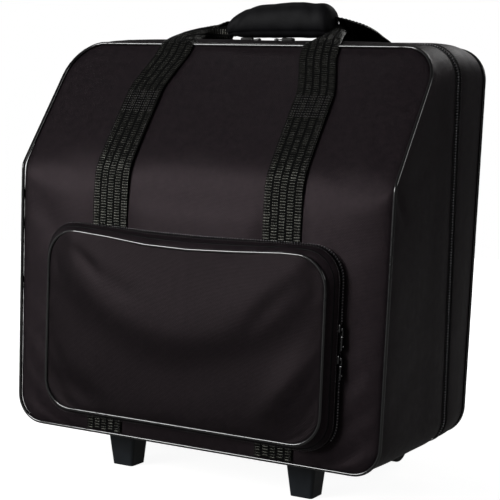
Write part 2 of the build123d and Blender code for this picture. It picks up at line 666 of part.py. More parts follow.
def handle_parts():
    """Two-stage pull-out handle: fixed tubes, sliding tubes, grip and release button."""
    wide, deep = TUBE_WIDE - TUBE_STEP, TUBE_DEEP - TUBE_STEP
    slim, thin = wide - TUBE_STEP, deep - TUBE_STEP
    outer = square_tube(TUBE_WIDE, TUBE_DEEP, TUBE_WALL, TUBE_FOOT, TUBE_TOP)
    middle = square_tube(wide, deep, TUBE_WALL - 0.1, TUBE_FOOT + 9, COLLAR_LOW)
    inner = square_tube(slim, thin, TUBE_WALL, TUBE_FOOT + 15, COLLAR_LOW + 23)
    over_tube = Pos(TUBE_X, TUBE_Y, COLLAR_LOW)
    collar = RectangleRounded(slim + 9.4, thin + 8.4, 4) - RectangleRounded(slim + 0.8, thin + 0.8, 2.4)
    collar = over_tube * extrude(collar, 5.5)
    leg_socket = Pos(TUBE_X, TUBE_Y, COLLAR_LOW - 5) * extrude(RectangleRounded(slim, thin, 3.0), 28)
    well = Pos(0, TUBE_Y, HANDLE_TOP - 4) * Box(36.6, 13.6, 10)
    button = Pos(0, TUBE_Y, HANDLE_TOP - 5) * extrude(RectangleRounded(36, 13, 4), 6.5)
    screws = handle_screws()
    return {
        "outer_tubes": both_sides(outer),
        "middle_tubes": both_sides(middle),
        "tube_collars": both_sides(collar),
        "inner_tubes": both_sides(inner),
        "handle_bezel": handle_bezel() - screws,
        "handle_grip": handle_grip() - both_sides(leg_socket) - well,
        "release_button": button,
        "back_screws": screws,
        "wheel_base": wheel_base() - screws,
        "axle_left": mirror(axle(), about=Plane.YZ),
        "axle_right": axle(),
    }


def handle_bezel():
    """Moulded plate at the head of the back that the fixed tubes end in."""
    half = HANDLE_HALF + 3
    outline = [(-half, DEPTH - 1), (half, DEPTH - 1), (half, FITTING_BACK), (-half, FITTING_BACK)]
    plate = extrude(round_face(outline, [1, 8, 8, 1], Plane.XY.offset(BEZEL_LOW)), 20.5)
    seat = Pos(TUBE_X, TUBE_Y, TUBE_TOP - 5) * Box(TUBE_WIDE, TUBE_DEEP, 10)
    throat = Pos(TUBE_X, TUBE_Y, TUBE_TOP + 6) * Box(TUBE_WIDE - 2.6, TUBE_DEEP - 2.6, 40)
    return plate - brick(-FAR, FAR, 0, BACK_FACE, 0, FAR) - both_sides(seat) - both_sides(throat)


def handle_grip():
    """Moulded handle: a bar on two short legs that leaves room for the fingers."""
    finger_half = 56.0
    bar_low = 527.0
    bar = [(-HANDLE_HALF, HANDLE_LOW), (-HANDLE_HALF, HANDLE_TOP), (HANDLE_HALF, HANDLE_TOP),
           (HANDLE_HALF, HANDLE_LOW), (finger_half, HANDLE_LOW), (finger_half, bar_low),
           (-finger_half, bar_low), (-finger_half, HANDLE_LOW)]
    body = extrude(round_face(bar, [3, 14, 14, 3, 3, 8, 8, 3], front_plane(TUBE_Y + BAR_DEPTH / 2)),
                   BAR_DEPTH)
    return fillet(body.edges().group_by(Axis.Z)[-1], 3.0)


def handle_screws():
    """Pan-head screws through the bezel and the carriage into the stiff back board."""
    screws = []
    inside = DEPTH - WALL - LINING - BOARD_THICK
    bezel_row = (BEZEL_LOW + 10, 46)
    carriage_row = ((CARRIAGE_LOW + CARRIAGE_HIGH) / 2, 108)
    for z, reach in (bezel_row, carriage_row):
        for x in (-reach, -reach / 3, reach / 3, reach):
            head = rod(x, FITTING_BACK, z, 4.2, 2.2, BACKWARDS)
            shank = rod(x, inside, z, 1.9, FITTING_BACK - inside, BACKWARDS)
            screws.append(head + shank)
    return solids(*screws)


def back_board(screws):
    """Stiff board inside the lid that the handle and the carriage are screwed to."""
    half = WIDTH_FOOT / 2 - 18.5
    low = GROUND + 17
    high = GROUND + CROWN - 23
    behind = front_plane(DEPTH - WALL - LINING - 0.2)
    face = round_face([(-half, low), (half, low), (half, high), (-half, high)], [28] * 4, behind)
    return extrude(face, BOARD_THICK) - screws


# ---- whole part -----------------------------------------------------------------------------
def build_parts():
    """Every node of the case by name."""
    parts = {}
    parts.update(bag_parts())
    parts.update(zipper_parts())
    parts.update(grip_parts())
    parts.update(pocket_parts())
    parts.update(slider_parts())
    parts.update(foot_parts())
    parts.update(inner_strap_parts())
    parts.update(wheel_parts())
    parts.update(handle_parts())
    parts["back_board"] = back_board(parts["back_screws"])
    for name in ("back_panel", "lid_lining"):
        parts[name] = parts[name] - parts["back_screws"]
    for name in ("shell_gusset", "shell_lining"):
        parts[name] = parts[name] - parts["foot_screws"]
    return parts


def main():
    os.makedirs("parts", exist_ok=True)
    for name, shape in build_parts().items():
        pieces = shape.solids()
        moved = Pos(0, -CENTRE_Y, 0) * Compound(children=pieces)
        export_step(moved if len(pieces) > 1 else moved.solids()[0], f"parts/{name}.step")
        print(name, len(pieces), "solid(s)")


if __name__ == "__main__":
    main()
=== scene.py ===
import math

import bmesh
import bpy
import numpy as np
from mathutils import Matrix, Vector, noise


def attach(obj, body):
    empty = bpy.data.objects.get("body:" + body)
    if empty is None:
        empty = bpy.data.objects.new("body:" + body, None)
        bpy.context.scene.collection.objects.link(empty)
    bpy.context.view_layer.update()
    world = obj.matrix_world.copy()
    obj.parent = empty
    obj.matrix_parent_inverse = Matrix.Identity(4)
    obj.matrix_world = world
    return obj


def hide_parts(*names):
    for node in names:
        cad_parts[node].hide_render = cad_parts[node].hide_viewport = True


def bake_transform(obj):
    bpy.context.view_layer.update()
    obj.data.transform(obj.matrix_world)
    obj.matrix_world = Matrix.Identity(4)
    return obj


# Looks of a soft padded accordion case: sewn pack cloth over foam, glossy welts, woven webbing,
# coil zippers, a wrapped grip, moulded feet, and wheels with a pull-out handle behind.
# Shapes are worked out in millimetres, with depth Y measured from the flat lower front of the bag
# and Z from the floor; metres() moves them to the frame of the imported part.

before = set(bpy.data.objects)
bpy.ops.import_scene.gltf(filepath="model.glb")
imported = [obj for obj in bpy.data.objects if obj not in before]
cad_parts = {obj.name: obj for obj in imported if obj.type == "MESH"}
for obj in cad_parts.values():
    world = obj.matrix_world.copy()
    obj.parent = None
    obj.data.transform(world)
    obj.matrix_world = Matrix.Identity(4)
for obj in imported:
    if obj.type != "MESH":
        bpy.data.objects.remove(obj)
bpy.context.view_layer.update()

# ---- sizes of the bag, in millimetres ----------------------------------------------------------
CENTRE_Y = 145.0            # depth of the frame's origin
GROUND = 55.0               # underside of the bag
FOOT_HALF = 254.5           # half width at the bottom
HEAD_HALF = 260.0           # half width at the top
DEPTH = 273.0
BEND = 332.0                # height of the bend in the front, above the underside
SETBACK = 117.5
FRONT_TOP = 493.3
CROWN = 502.0
WALL = 9.0                  # cloth, foam and backing together
ZIP_BACK = 198.0            # depth of the main zipper at the bottom
ZIP_LEAN = 28.0             # and how far it has come forward at the top
ZIP_EDGE = 4.6              # the folded cloth edge stops this far from the middle of the zipper
HINGE_HALF = 196.0
HINGE_REACH = 9.0           # half width of the hinge cloth
HINGE_TOP = GROUND + 25.0   # the sewn hinge takes the zipper's place below this height
EDGE_SOFT = 6.0             # how gently the front edge of the side strip turns at the bend
TOP_SWELL = 3.4             # soft rise of the top in front of the zipper
BAG_MIDDLE = (0.0, 150.0, 300.0)
SLACK_CLOTH = (0.0005, 2.2)  # spare length of settling cloth, and how far it can move
SLOPE = SETBACK / (FRONT_TOP - BEND)

# Bag sections: depth, top height, side bulge, top corner radius, bottom corner radius.
SECTIONS = np.array([
    (SETBACK, FRONT_TOP, 0.0, 44.0, 34.0),
    (152.0, 498.6, 2.0, 44.0, 34.5),
    (195.0, CROWN, 3.0, 43.0, 35.0),
    (235.0, CROWN - 0.1, 2.0, 42.0, 36.0),
    (DEPTH, 499.0, 0.0, 40.0, 38.0),
])

# Points along each stretch of the right half of the bag's outline, from the middle of the bottom
# to the middle of the top: bottom, corner, side, corner, top.
STRETCHES = (27, 9, 50, 9, 25)
PLAN = np.concatenate([np.full(n, k) for k, n in enumerate(STRETCHES)] + [[4]])
SHARE = np.concatenate([np.arange(n) / n for n in STRETCHES] + [[1.0]])

# The pocket on the lower front.
POCKET_HALF = 203.5
POCKET_LOW = GROUND + 22.5
POCKET_HIGH = GROUND + 261.0
POCKET_CORNER = 37.0
POCKET_FACE = (192.0, GROUND + 31.0, GROUND + 250.0)
POCKET_ZIP = -10.0          # depth of its zipper, in front of the bag
POCKET_WELT = -15.0         # depth where the fixed-width sides end
POCKET_FRONT = -30.0        # depth of its front welt
POCKET_SIDE_WELT = -21.5    # depth of the welt round its side
POCKET_REACH = -41.5        # the cover's belly comes forward no further than this
POCKET_MIDDLE = (0.0, 0.0, 200.0)
# The top of the pocket droops between its corners: rise at places across it.
POCKET_DROOP = np.array([(-192, 5.0), (-150, 4.5), (-107, 1.5), (-50, -4.0), (10, -5.3), (70, -3.0),
                         (135, 0.6), (192, 0.0)])
POCKET_STRETCHES = (22, 9, 20, 9, 22)

# Zippers and sewing: pitches, and sizes of one piece along, across and out from the seam.
COIL_PITCH = 3.4
STITCH_PITCH = 3.4
STITCH = (2.5, 0.8, 0.7)
PIN_HEIGHT = 3.6            # pin of a slider above the zipper
SLEEVE = (4.4, 2.5)         # half width and half thickness of a pull's sleeve

# Carry straps and grip.
WEBBING = 50.0
STRAP_X = 120.0
STRAP_EDGE = 22.4           # rows of stitches beside the middle of a strap
STRAP_BED = 1.2             # how far the cloth can swell under a sewn strap
GRIP_Y = 203.0
GRIP_LOW = GROUND + 508.0
GRIP_DEEP = 43.0
GRIP_SPLIT = 10.3           # the halves close on each other this far behind the middle
GRIP_MID_Z = GROUND + 520.0  # the pinches at its ends slant about this height
# Height of the wrap at places across the case: it closes tightly on the left webbing.
GRIP_SHAPE = np.array([(-75, 17.0), (-62, 29.5), (-46, 38.5), (-28, 42.5), (0, 44.5), (35, 46.0),
                       (66, 45.0), (77, 38.5), (80, 30.0)])


# ---- small helpers --------------------------------------------------------------------------
def metres(points):
    """Millimetres from the flat front become metres in the frame of the part."""
    return (np.asarray(points, float) - (0.0, CENTRE_Y, 0.0)) / 1000.0


def unit(vectors):
    """Vectors of length one."""
    vectors = np.asarray(vectors, float)
    length = np.linalg.norm(vectors, axis=-1, keepdims=True)
    return vectors / np.maximum(length, 1e-9)


def smooth_step(t):
    """Eased share from 0 to 1."""
    t = np.clip(t, 0.0, 1.0)
    return t * t * (3 - 2 * t)


def hump(distance, width):
    """Bell shape: 1 in its middle, fading away over a width."""
    return np.exp(-(distance / width) ** 2)


def off_seam(away, reach):
    """Share that grows from 0 at a seam to 1 well away from it."""
    return 1 - np.exp(-away / reach)


def bumps(points, size, seed):
    """Smooth random heights from -1 to 1, with features of one size in millimetres."""
    shift = Vector((seed * 17.31, seed * 5.17, seed * 9.73))
    flat = np.asarray(points, float).reshape(-1, 3) / size
    return np.array([noise.noise(Vector(p) + shift) for p in flat]).reshape(points.shape[:-1])


def crease(plane_points, start, end, width, depth):
    """Depth of a soft fold that runs between two points and fades at both ends."""
    start, end = np.array(start, float), np.array(end, float)
    run = end - start
    t = np.clip(((plane_points - start) @ run) / (run @ run), 0, 1)
    away = np.linalg.norm(plane_points - (start + t[..., None] * run), axis=-1)
    fade = 0.35 + 0.65 * np.sin(math.pi * t)
    return -depth * fade * hump(away, width)


def creases(plane_points, *folds):
    """Soft folds together, each given as its start, end, width and depth."""
    return sum(crease(plane_points, *fold) for fold in folds)


def new_object(name, data):
    """An object that is linked into the scene."""
    obj = bpy.data.objects.new(name, data)
    bpy.context.scene.collection.objects.link(obj)
    return obj


def bake_modifier(obj, modifier):
    """The result of a modifier becomes the object's own plain mesh."""
    result = bpy.data.meshes.new_from_object(
        obj.evaluated_get(bpy.context.evaluated_depsgraph_get()))
    obj.modifiers.remove(modifier)
    obj.data = result
    result.name = obj.name


def lengths(path):
    """Distance along a path of points, starting at 0."""
    steps = np.linalg.norm(np.diff(path, axis=0), axis=1)
    return np.concatenate([[0.0], np.cumsum(steps)])


def resample(path, step):
    """The same path with points an even step apart."""
    along = lengths(path)
    count = max(int(round(along[-1] / step)), 2) + 1
    at = np.linspace(0, along[-1], count)
    return np.stack([np.interp(at, along, path[:, k]) for k in range(path.shape[1])], 1)


# ---- outlines of the bag and the pocket --------------------------------------------------------
def rounded_half(plan, share, half, low, high, r_low, r_high):
    """Right half of a rounded outline; half is a function that gives the half width at a height."""
    turn = share * math.pi / 2
    z = np.choose(plan, [low + 0 * share, low + r_low * (1 - np.cos(turn)),
                         low + r_low + share * (high - r_high - low - r_low),
                         high - r_high * (1 - np.sin(turn)), high + 0 * share])
    wide = half(z)
    x = np.choose(plan, [share * (wide - r_low), wide - r_low * (1 - np.sin(turn)), wide,
                         wide - r_high * (1 - np.cos(turn)), (wide - r_high) * (1 - share)])
    return x, z


def bag_half(y, inset=0.0):
    """Right half of the bag's outline at a depth, or at its own depth for every point."""
    y = np.broadcast_to(np.asarray(y, float), PLAN.shape)
    top, bulge, r_top, r_foot = (np.interp(y, SECTIONS[:, 0], SECTIONS[:, k]) for k in (1, 2, 3, 4))

    def half(z):
        return FOOT_HALF + (HEAD_HALF - FOOT_HALF) * (z - GROUND) / FRONT_TOP + bulge - inset

    return rounded_half(PLAN, SHARE, half, GROUND + inset, GROUND + top - inset,
                        np.maximum(r_foot - inset, 8), np.maximum(r_top - inset, 8))


def both_halves(right):
    """Whole ring from its right half; the first and last points are the same place."""
    left = right[::-1][1:] * np.array([-1.0, 1.0, 1.0])
    return np.concatenate([right, left])


def front_depth(z, soft):
    """Depth of the bent front at a height; soft is how gently it turns at the bend."""
    t = z - (GROUND + BEND)
    return SLOPE * 0.5 * (t + np.sqrt(t * t + soft * soft)) - SLOPE * 0.5 * soft * 0.12


def zip_depth(z):
    """Depth of the middle of the main zipper at a height."""
    return ZIP_BACK - ZIP_LEAN * (z - GROUND) / CROWN


def side_strip(start, end, rows, inset=0.0):
    """Grid round the bag between two depths, given for every point of the half outline."""
    spread = np.linspace(0, 1, rows) * 2 - 1
    spread = (spread + 0.22 * np.sin(spread * math.pi)) / 2 + 0.5
    grid = []
    for v in spread:
        y = start + (end - start) * v
        x, z = bag_half(y, inset)
        grid.append(both_halves(np.stack([x, y, z], 1)))
    return np.array(grid)


def face_grid(x, z, stretches, columns, depth):
    """Grid over a rounded face; every row runs across between two points of the outline."""
    rows = slice(stretches[0], len(x) - stretches[4])
    across = np.linspace(-1, 1, columns)
    across = across + 0.1 * np.sin(across * math.pi)
    gx = across[None, :] * x[rows][:, None]
    gz = np.broadcast_to(z[rows][:, None], gx.shape)
    return np.stack([gx, depth(gx, gz), gz], -1)


def pocket_half(half, low, high, corner):
    """Right half of an outline of the pocket."""
    plan = np.concatenate([np.full(n, k) for k, n in enumerate(POCKET_STRETCHES)] + [[4]])
    share = np.concatenate([np.arange(n) / n for n in POCKET_STRETCHES] + [[1.0]])
    return rounded_half(plan, share, lambda z: half + 0 * z, low, high, corner, corner)


def pocket_droop(x, z, y):
    """How much the slack top of the pocket lies above its straight edge."""
    share = np.clip(-y / 30.0, 0, 1) ** 0.8
    rise = np.interp(x, POCKET_DROOP[:, 0], POCKET_DROOP[:, 1])
    return rise * share * smooth_step((z - 215) / 85)


def pocket_ring(y, inset=0.0):
    """Whole outline of the pocket at one depth."""
    t = np.clip((POCKET_WELT - y) / (POCKET_WELT - POCKET_FRONT), 0, 1)
    half = POCKET_HALF + (POCKET_FACE[0] - POCKET_HALF) * t - inset
    low = POCKET_LOW + (POCKET_FACE[1] - POCKET_LOW) * t + inset
    high = POCKET_HIGH + (POCKET_FACE[2] - POCKET_HIGH) * t - inset
    x, z = pocket_half(half, low, high, max(POCKET_CORNER - inset, 6))
    ring = both_halves(np.stack([x, np.full_like(x, y), z], 1))
    ring[:, 2] += pocket_droop(ring[:, 0], ring[:, 2], y)
    return ring


# ---- upholstery -----------------------------------------------------------------------------
def grid_normals(grid, wrap, centre):
    """Unit normals of a grid, pointing away from a centre."""
    if wrap:
        wide = np.concatenate([grid[:, -2:-1], grid, grid[:, 1:2]], axis=1)
        along = (wide[:, 2:] - wide[:, :-2]) / 2
    else:
        along = np.gradient(grid, axis=1)
    normal = unit(np.cross(along, np.gradient(grid, axis=0)))
    away = np.sum(normal * (grid - np.array(centre, float)))
    return -normal if away < 0 else normal


def edge_distance(grid, wrap):
    """Distance of every grid point from the nearest seam, in millimetres."""
    if wrap:
        steps = np.linalg.norm(np.diff(grid, axis=0), axis=2)
        down = np.concatenate([np.zeros((1, grid.shape[1])), np.cumsum(steps, axis=0)])
        return np.minimum(down, down[-1] - down)
    rim = np.concatenate([grid[0], grid[-1], grid[:, 0], grid[:, -1]])
    flat = grid.reshape(-1, 3)
    away = np.linalg.norm(flat[:, None, :] - rim[None, :, :], axis=2).min(axis=1)
    return away.reshape(grid.shape[:2])


def pad_out(grid, normals, away, rise, reach, dip, seed):
    """Foam under cloth: it swells away from the seams, sinks at them, and is never quite even."""
    swell = rise * off_seam(away, reach) - dip * np.exp(-away / 5.0)
    slack = 1.1 * bumps(grid, 95.0, seed) + 0.45 * bumps(grid, 34.0, seed + 1)
    pucker = 0.55 * bumps(grid, 13.0, seed + 2) * np.exp(-away / 22.0)
    return grid + normals * (swell + slack * off_seam(away, 14.0) + pucker)[..., None]


def settle(grid, pressure, slack, cap, steps=20):
    """Cloth pinned at its seams is pushed out by the padding behind it and settles into folds."""
    rows, columns = grid.shape[:2]
    obj = new_object("settling", bpy.data.meshes.new("settling"))
    obj.data.from_pydata((grid.reshape(-1, 3) / 1000).tolist(), [], grid_faces(rows, columns))
    ids = np.arange(rows * columns).reshape(rows, columns)
    rim = set(ids[0]) | set(ids[-1]) | set(ids[:, 0]) | set(ids[:, -1])
    obj.vertex_groups.new(name="seams").add([int(i) for i in rim], 1.0, "REPLACE")
    cloth = obj.modifiers.new("settle", "CLOTH")
    for name, value in {"quality": 6, "mass": 0.35, "tension_stiffness": 25,
                        "compression_stiffness": 25, "bending_stiffness": 1.5,
                        "use_pressure": True, "uniform_pressure_force": pressure,
                        "vertex_group_mass": "seams", "shrink_min": -slack}.items():
        setattr(cloth.settings, name, value)
    cloth.settings.effector_weights.gravity = 0.3
    cloth.point_cache.frame_start = 1
    cloth.point_cache.frame_end = steps
    scene = bpy.context.scene
    for step in range(1, steps + 1):
        scene.frame_set(step)
    result = obj.evaluated_get(bpy.context.evaluated_depsgraph_get()).data
    places = np.zeros(rows * columns * 3)
    result.vertices.foreach_get("co", places)
    moved = places.reshape(grid.shape) * 1000 - grid
    scene.frame_set(1)
    bpy.data.objects.remove(obj)
    far = np.linalg.norm(moved, axis=-1, keepdims=True)
    return grid + moved * (cap * np.tanh(far / cap) / np.maximum(far, 1e-6))


# ---- meshes ---------------------------------------------------------------------------------
def grid_faces(rows, columns, start=0):
    """Quads of a grid of points."""
    r, c = np.mgrid[0:rows - 1, 0:columns - 1]
    a = (start + r * columns + c).ravel()
    return np.stack([a, a + 1, a + columns + 1, a + columns], 1).tolist()


def piece(name, points, faces, finish, body, nodes=(), uv=None, levels=0):
    """A finished part: welded, faces outwards, with its finish, on the body that it moves with."""
    mesh = bpy.data.meshes.new(name)
    mesh.from_pydata(metres(points).tolist(), [], faces)
    if uv is not None:
        corner = np.zeros(len(mesh.loops), int)
        mesh.loops.foreach_get("vertex_index", corner)
        layer = mesh.uv_layers.new(name="cut")
        layer.data.foreach_set("uv", (uv[corner] / 1000).astype(np.float32).ravel())
    build = bmesh.new()
    build.from_mesh(mesh)
    bmesh.ops.remove_doubles(build, verts=build.verts, dist=2e-6)
    bmesh.ops.recalc_face_normals(build, faces=build.faces)
    if build.calc_volume(signed=True) < 0:
        bmesh.ops.reverse_faces(build, faces=build.faces)
    build.to_mesh(mesh)
    build.free()
    obj = new_object(name, mesh)
    if levels:
        finer = obj.modifiers.new("finer", "SUBSURF")
        finer.levels = finer.render_levels = levels
        bake_modifier(obj, finer)
    obj.data.materials.clear()
    obj.data.materials.append(finish)
    obj.data.shade_smooth()
    return place(obj, body, nodes)


def place(obj, body, nodes=()):
    """The piece rides on its body and stands for CAD nodes."""
    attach(obj, body)
    if nodes:
        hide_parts(*nodes)
    return obj


def wall_faces(rows, columns, wrap):
    """Faces of a closed wall made of an outer grid and an inner grid after it."""
    count = rows * columns
    faces = grid_faces(rows, columns)
    faces += [face[::-1] for face in grid_faces(rows, columns, count)]
    ids = np.arange(count).reshape(rows, columns)
    rims = [ids[0], ids[-1][::-1]]
    if not wrap:
        rims += [ids[::-1, 0], ids[:, -1]]
    for rim in rims:
        faces += [[int(b), int(a), int(a) + count, int(b) + count] for a, b in zip(rim, rim[1:])]
    return faces


def wall(name, outer, inner, wrap, finish, body, nodes=(), levels=1):
    """A cloth or padded wall between two grids, with its cut pattern as UV in real size."""
    rows, columns = outer.shape[:2]
    across = np.concatenate([np.zeros((rows, 1)),
                             np.cumsum(np.linalg.norm(np.diff(outer, axis=1), axis=2), axis=1)], 1)
    middle = across[rows // 2]
    # distances down the piece are taken in its middle, or on the side of a strip round the bag
    down = lengths(outer[:, STRETCHES[0] + 30 if wrap else columns // 2])
    if wrap:
        across = np.broadcast_to(middle, across.shape)
    else:
        across = across - across[:, -1:] / 2
    uv = np.stack([across, np.broadcast_to(down[:, None], across.shape)], -1).reshape(-1, 2)
    points = np.concatenate([outer.reshape(-1, 3), inner.reshape(-1, 3)])
    return piece(name, points, wall_faces(rows, columns, wrap), finish, body, nodes,
                 np.concatenate([uv, uv]), levels)


def tube(name, path, outward, radius, finish, body, nodes=(), sides=12, wobble=0.0, seed=0):
    """Round cord or welt along a path; outward says which way its seam faces away from."""
    path = np.asarray(path, float)
    closed = np.linalg.norm(path[0] - path[-1]) < 1e-6
    if closed:
        long_way = np.concatenate([path[-2:-1], path, path[1:2]])
        tangent = unit(long_way[2:] - long_way[:-2])
    else:
        tangent = unit(np.gradient(path, axis=0))
    side = unit(np.cross(tangent, outward))
    up = unit(np.cross(side, tangent))
    turn = np.linspace(0, 2 * math.pi, sides + 1)
    size = radius * (1 + wobble * bumps(path, 6.0, seed))
    ring = (np.cos(turn)[None, :, None] * up[:, None, :]
            + np.sin(turn)[None, :, None] * side[:, None, :])
    grid = path[:, None, :] + ring * size[:, None, None]
    rows = len(path)
    faces = grid_faces(rows, sides + 1)
    points = grid.reshape(-1, 3)
    uv = np.stack(np.broadcast_arrays(lengths(path)[:, None], (turn * radius)[None, :]), -1)
    uv = uv.reshape(-1, 2)
    if not closed:
        for row, middle in ((0, path[0] - tangent[0] * radius * 0.6),
                            (rows - 1, path[-1] + tangent[-1] * radius * 0.6)):
            points = np.concatenate([points, middle[None]])
            uv = np.concatenate([uv, [[0.0, 0.0]]])
            first = row * (sides + 1)
            faces += [[first + k, first + k + 1, len(points) - 1] for k in range(sides)]
    return piece(name, points, faces, finish, body, nodes, uv)


# ---- Geometry Nodes: small pieces repeated along a seam -------------------------------------
def repeat_tree():
    """Rounded pieces an even pitch apart along a path: thread stitches, or the coil of a zipper."""
    tree = bpy.data.node_groups.new("pieces along a seam", "GeometryNodeTree")
    sockets = [("Path", "NodeSocketGeometry"), ("Pitch", "NodeSocketFloat"),
               ("Size", "NodeSocketVector"), ("Lift", "NodeSocketFloat"),
               ("Finish", "NodeSocketMaterial")]
    for name, kind in sockets:
        tree.interface.new_socket(name, in_out="INPUT", socket_type=kind)
    tree.interface.new_socket("Pieces", in_out="OUTPUT", socket_type="NodeSocketGeometry")
    given = tree.nodes.new("NodeGroupInput").outputs

    def step(kind, values=None, **settings):
        return add(tree, kind, values, **settings).outputs[0]

    outward = step("GeometryNodeInputNamedAttribute", {"Name": "outward"}, data_type="FLOAT_VECTOR")
    curve = step("GeometryNodeMeshToCurve", {"Mesh": given["Path"]})
    even = step("GeometryNodeResampleCurve", {"Curve": curve, "Length": given["Pitch"]},
                mode="LENGTH")
    lift = step("ShaderNodeVectorMath", {0: outward, "Scale": given["Lift"]}, operation="SCALE")
    raised = step("GeometryNodeSetPosition", {"Geometry": even, "Offset": lift})
    level = step("FunctionNodeAlignRotationToVector", {"Vector": step("GeometryNodeInputTangent")},
                 axis="X")
    turned = step("FunctionNodeAlignRotationToVector", {"Rotation": level, "Vector": outward},
                  axis="Z", pivot_axis="X")
    bead = step("GeometryNodeMeshUVSphere", {"Segments": 8, "Rings": 4, "Radius": 0.5})
    shaped = step("GeometryNodeTransform", {"Geometry": bead, "Scale": given["Size"]})
    rounded = step("GeometryNodeSetShadeSmooth", {"Geometry": shaped})
    spread = step("GeometryNodeInstanceOnPoints",
                  {"Points": raised, "Instance": rounded, "Rotation": turned})
    real = step("GeometryNodeRealizeInstances", {"Geometry": spread})
    dressed = step("GeometryNodeSetMaterial", {"Geometry": real, "Material": given["Finish"]})
    out = tree.nodes.new("NodeGroupOutput")
    tree.links.new(dressed, out.inputs["Pieces"])
    return tree


def add(tree, kind, values=None, **settings):
    """Adds a node with its settings; a value is a number or the socket that it comes from."""
    made = tree.nodes.new(kind)
    for name, value in settings.items():
        setattr(made, name, value)
    for name, value in (values or {}).items():
        if isinstance(value, bpy.types.NodeSocket):
            tree.links.new(value, made.inputs[name])
        else:
            made.inputs[name].default_value = value
    return made


def combine(tree, operation, first, second):
    """One number worked out from two."""
    return add(tree, "ShaderNodeMath", {0: first, 1: second}, operation=operation).outputs[0]


def along_seams(name, runs, pitch, size, lift, finish, body):
    """Repeats small pieces along paths; every run is a path and its outward directions."""
    mesh = bpy.data.meshes.new(name)
    points = np.concatenate([path for path, out in runs])
    edges, first = [], 0
    for path, out in runs:
        edges += [(first + k, first + k + 1) for k in range(len(path) - 1)]
        first += len(path)
    mesh.from_pydata(metres(points).tolist(), edges, [])
    away = mesh.attributes.new("outward", "FLOAT_VECTOR", "POINT")
    directions = unit(np.concatenate([np.broadcast_to(out, path.shape) for path, out in runs]))
    away.data.foreach_set("vector", directions.astype(np.float32).ravel())
    obj = new_object(name, mesh)
    repeat = obj.modifiers.new("repeat", "NODES")
    repeat.node_group = REPEAT
    given = {"Pitch": pitch / 1000, "Size": [s / 1000 for s in size], "Lift": lift / 1000,
             "Finish": finish}
    for item in REPEAT.interface.items_tree:
        if item.name in given:
            repeat[item.identifier] = given[item.name]
    obj.data.update()
    bake_modifier(obj, repeat)
    left_over = obj.data.attributes.get("outward")
    if left_over:
        obj.data.attributes.remove(left_over)
    return place(obj, body)


# ---- finishes -------------------------------------------------------------------------------
def colour(hex_value):
    """An sRGB hex value as linear red, green, blue and alpha."""
    parts = [int(hex_value[k:k + 2], 16) / 255 for k in (1, 3, 5)]
    linear = [c / 12.92 if c <= 0.04045 else ((c + 0.055) / 1.055) ** 2.4 for c in parts]
    return (*linear, 1.0)


def object_coordinates(tree):
    """Places in the part's frame, in metres."""
    return add(tree, "ShaderNodeTexCoord").outputs["Object"]


def cut_coordinates(tree):
    """The piece's own cut pattern, in metres."""
    return add(tree, "ShaderNodeUVMap", uv_map="cut").outputs["UV"]


def material(name, base, rough, tones=None, wander=None, relief=None, where=object_coordinates,
             **constants):
    """A material with one Principled shader; constants are set on the shader's own sockets.
    Tones, wander and relief are the values of two_tones(), rough_range() and bump_from()."""
    made = bpy.data.materials.new(name)
    made.use_nodes = True
    tree = made.node_tree
    shader = tree.nodes["Principled BSDF"]
    shader.inputs["Base Color"].default_value = colour(base)
    shader.inputs["Roughness"].default_value = rough
    for socket, value in constants.items():
        shader.inputs[socket.replace("_", " ")].default_value = value
    places = where(tree) if tones or wander or relief else None
    if tones:
        two_tones(tree, shader, places, *tones)
    if wander:
        rough_range(tree, shader, places, *wander)
    if relief:
        bump_from(tree, shader, places, *relief)
    return made


def two_tones(tree, shader, where, dark, light, scale, low, high, detail=3.0, grain=0.5):
    """Cloudy change between two shades, over features of 1/scale metres."""
    cloud = add(tree, "ShaderNodeTexNoise", {"Vector": where, "Scale": scale, "Detail": detail,
                                            "Roughness": grain})
    ramp = add(tree, "ShaderNodeValToRGB", {"Fac": cloud.outputs["Fac"]})
    for element, position, shade in zip(ramp.color_ramp.elements, (low, high), (dark, light)):
        element.position = position
        element.color = colour(shade)
    tree.links.new(ramp.outputs["Color"], shader.inputs["Base Color"])


def rough_range(tree, shader, where, scale, low, high):
    """Roughness that wanders between two values."""
    cloud = add(tree, "ShaderNodeTexNoise", {"Vector": where, "Scale": scale, "Detail": 3.0})
    span = add(tree, "ShaderNodeMapRange", {"Value": cloud.outputs["Fac"], "From Min": 0.3,
                                            "From Max": 0.7, "To Min": low, "To Max": high})
    tree.links.new(span.outputs["Result"], shader.inputs["Roughness"])


def bump_from(tree, shader, where, height, strength, distance):
    """Surface relief; height is a function that draws its pattern over the coordinates."""
    relief = add(tree, "ShaderNodeBump", {"Height": height(tree, where), "Strength": strength,
                                          "Distance": distance})
    tree.links.new(relief.outputs["Normal"], shader.inputs["Normal"])


def texture(kind, output="Fac", values=None, **settings):
    """A height pattern made of one texture node."""
    def height(tree, where):
        return add(tree, kind, {"Vector": where, **values}, **settings).outputs[output]

    return height


def grain(scale, detail):
    """Fine irregular grain, with features of 1/scale metres."""
    return texture("ShaderNodeTexNoise", values={"Scale": scale, "Detail": detail})


def bands(direction, **values):
    """Even ribs that follow one another in a direction."""
    return texture("ShaderNodeTexWave", values=values, wave_type="BANDS",
                   bands_direction=direction)


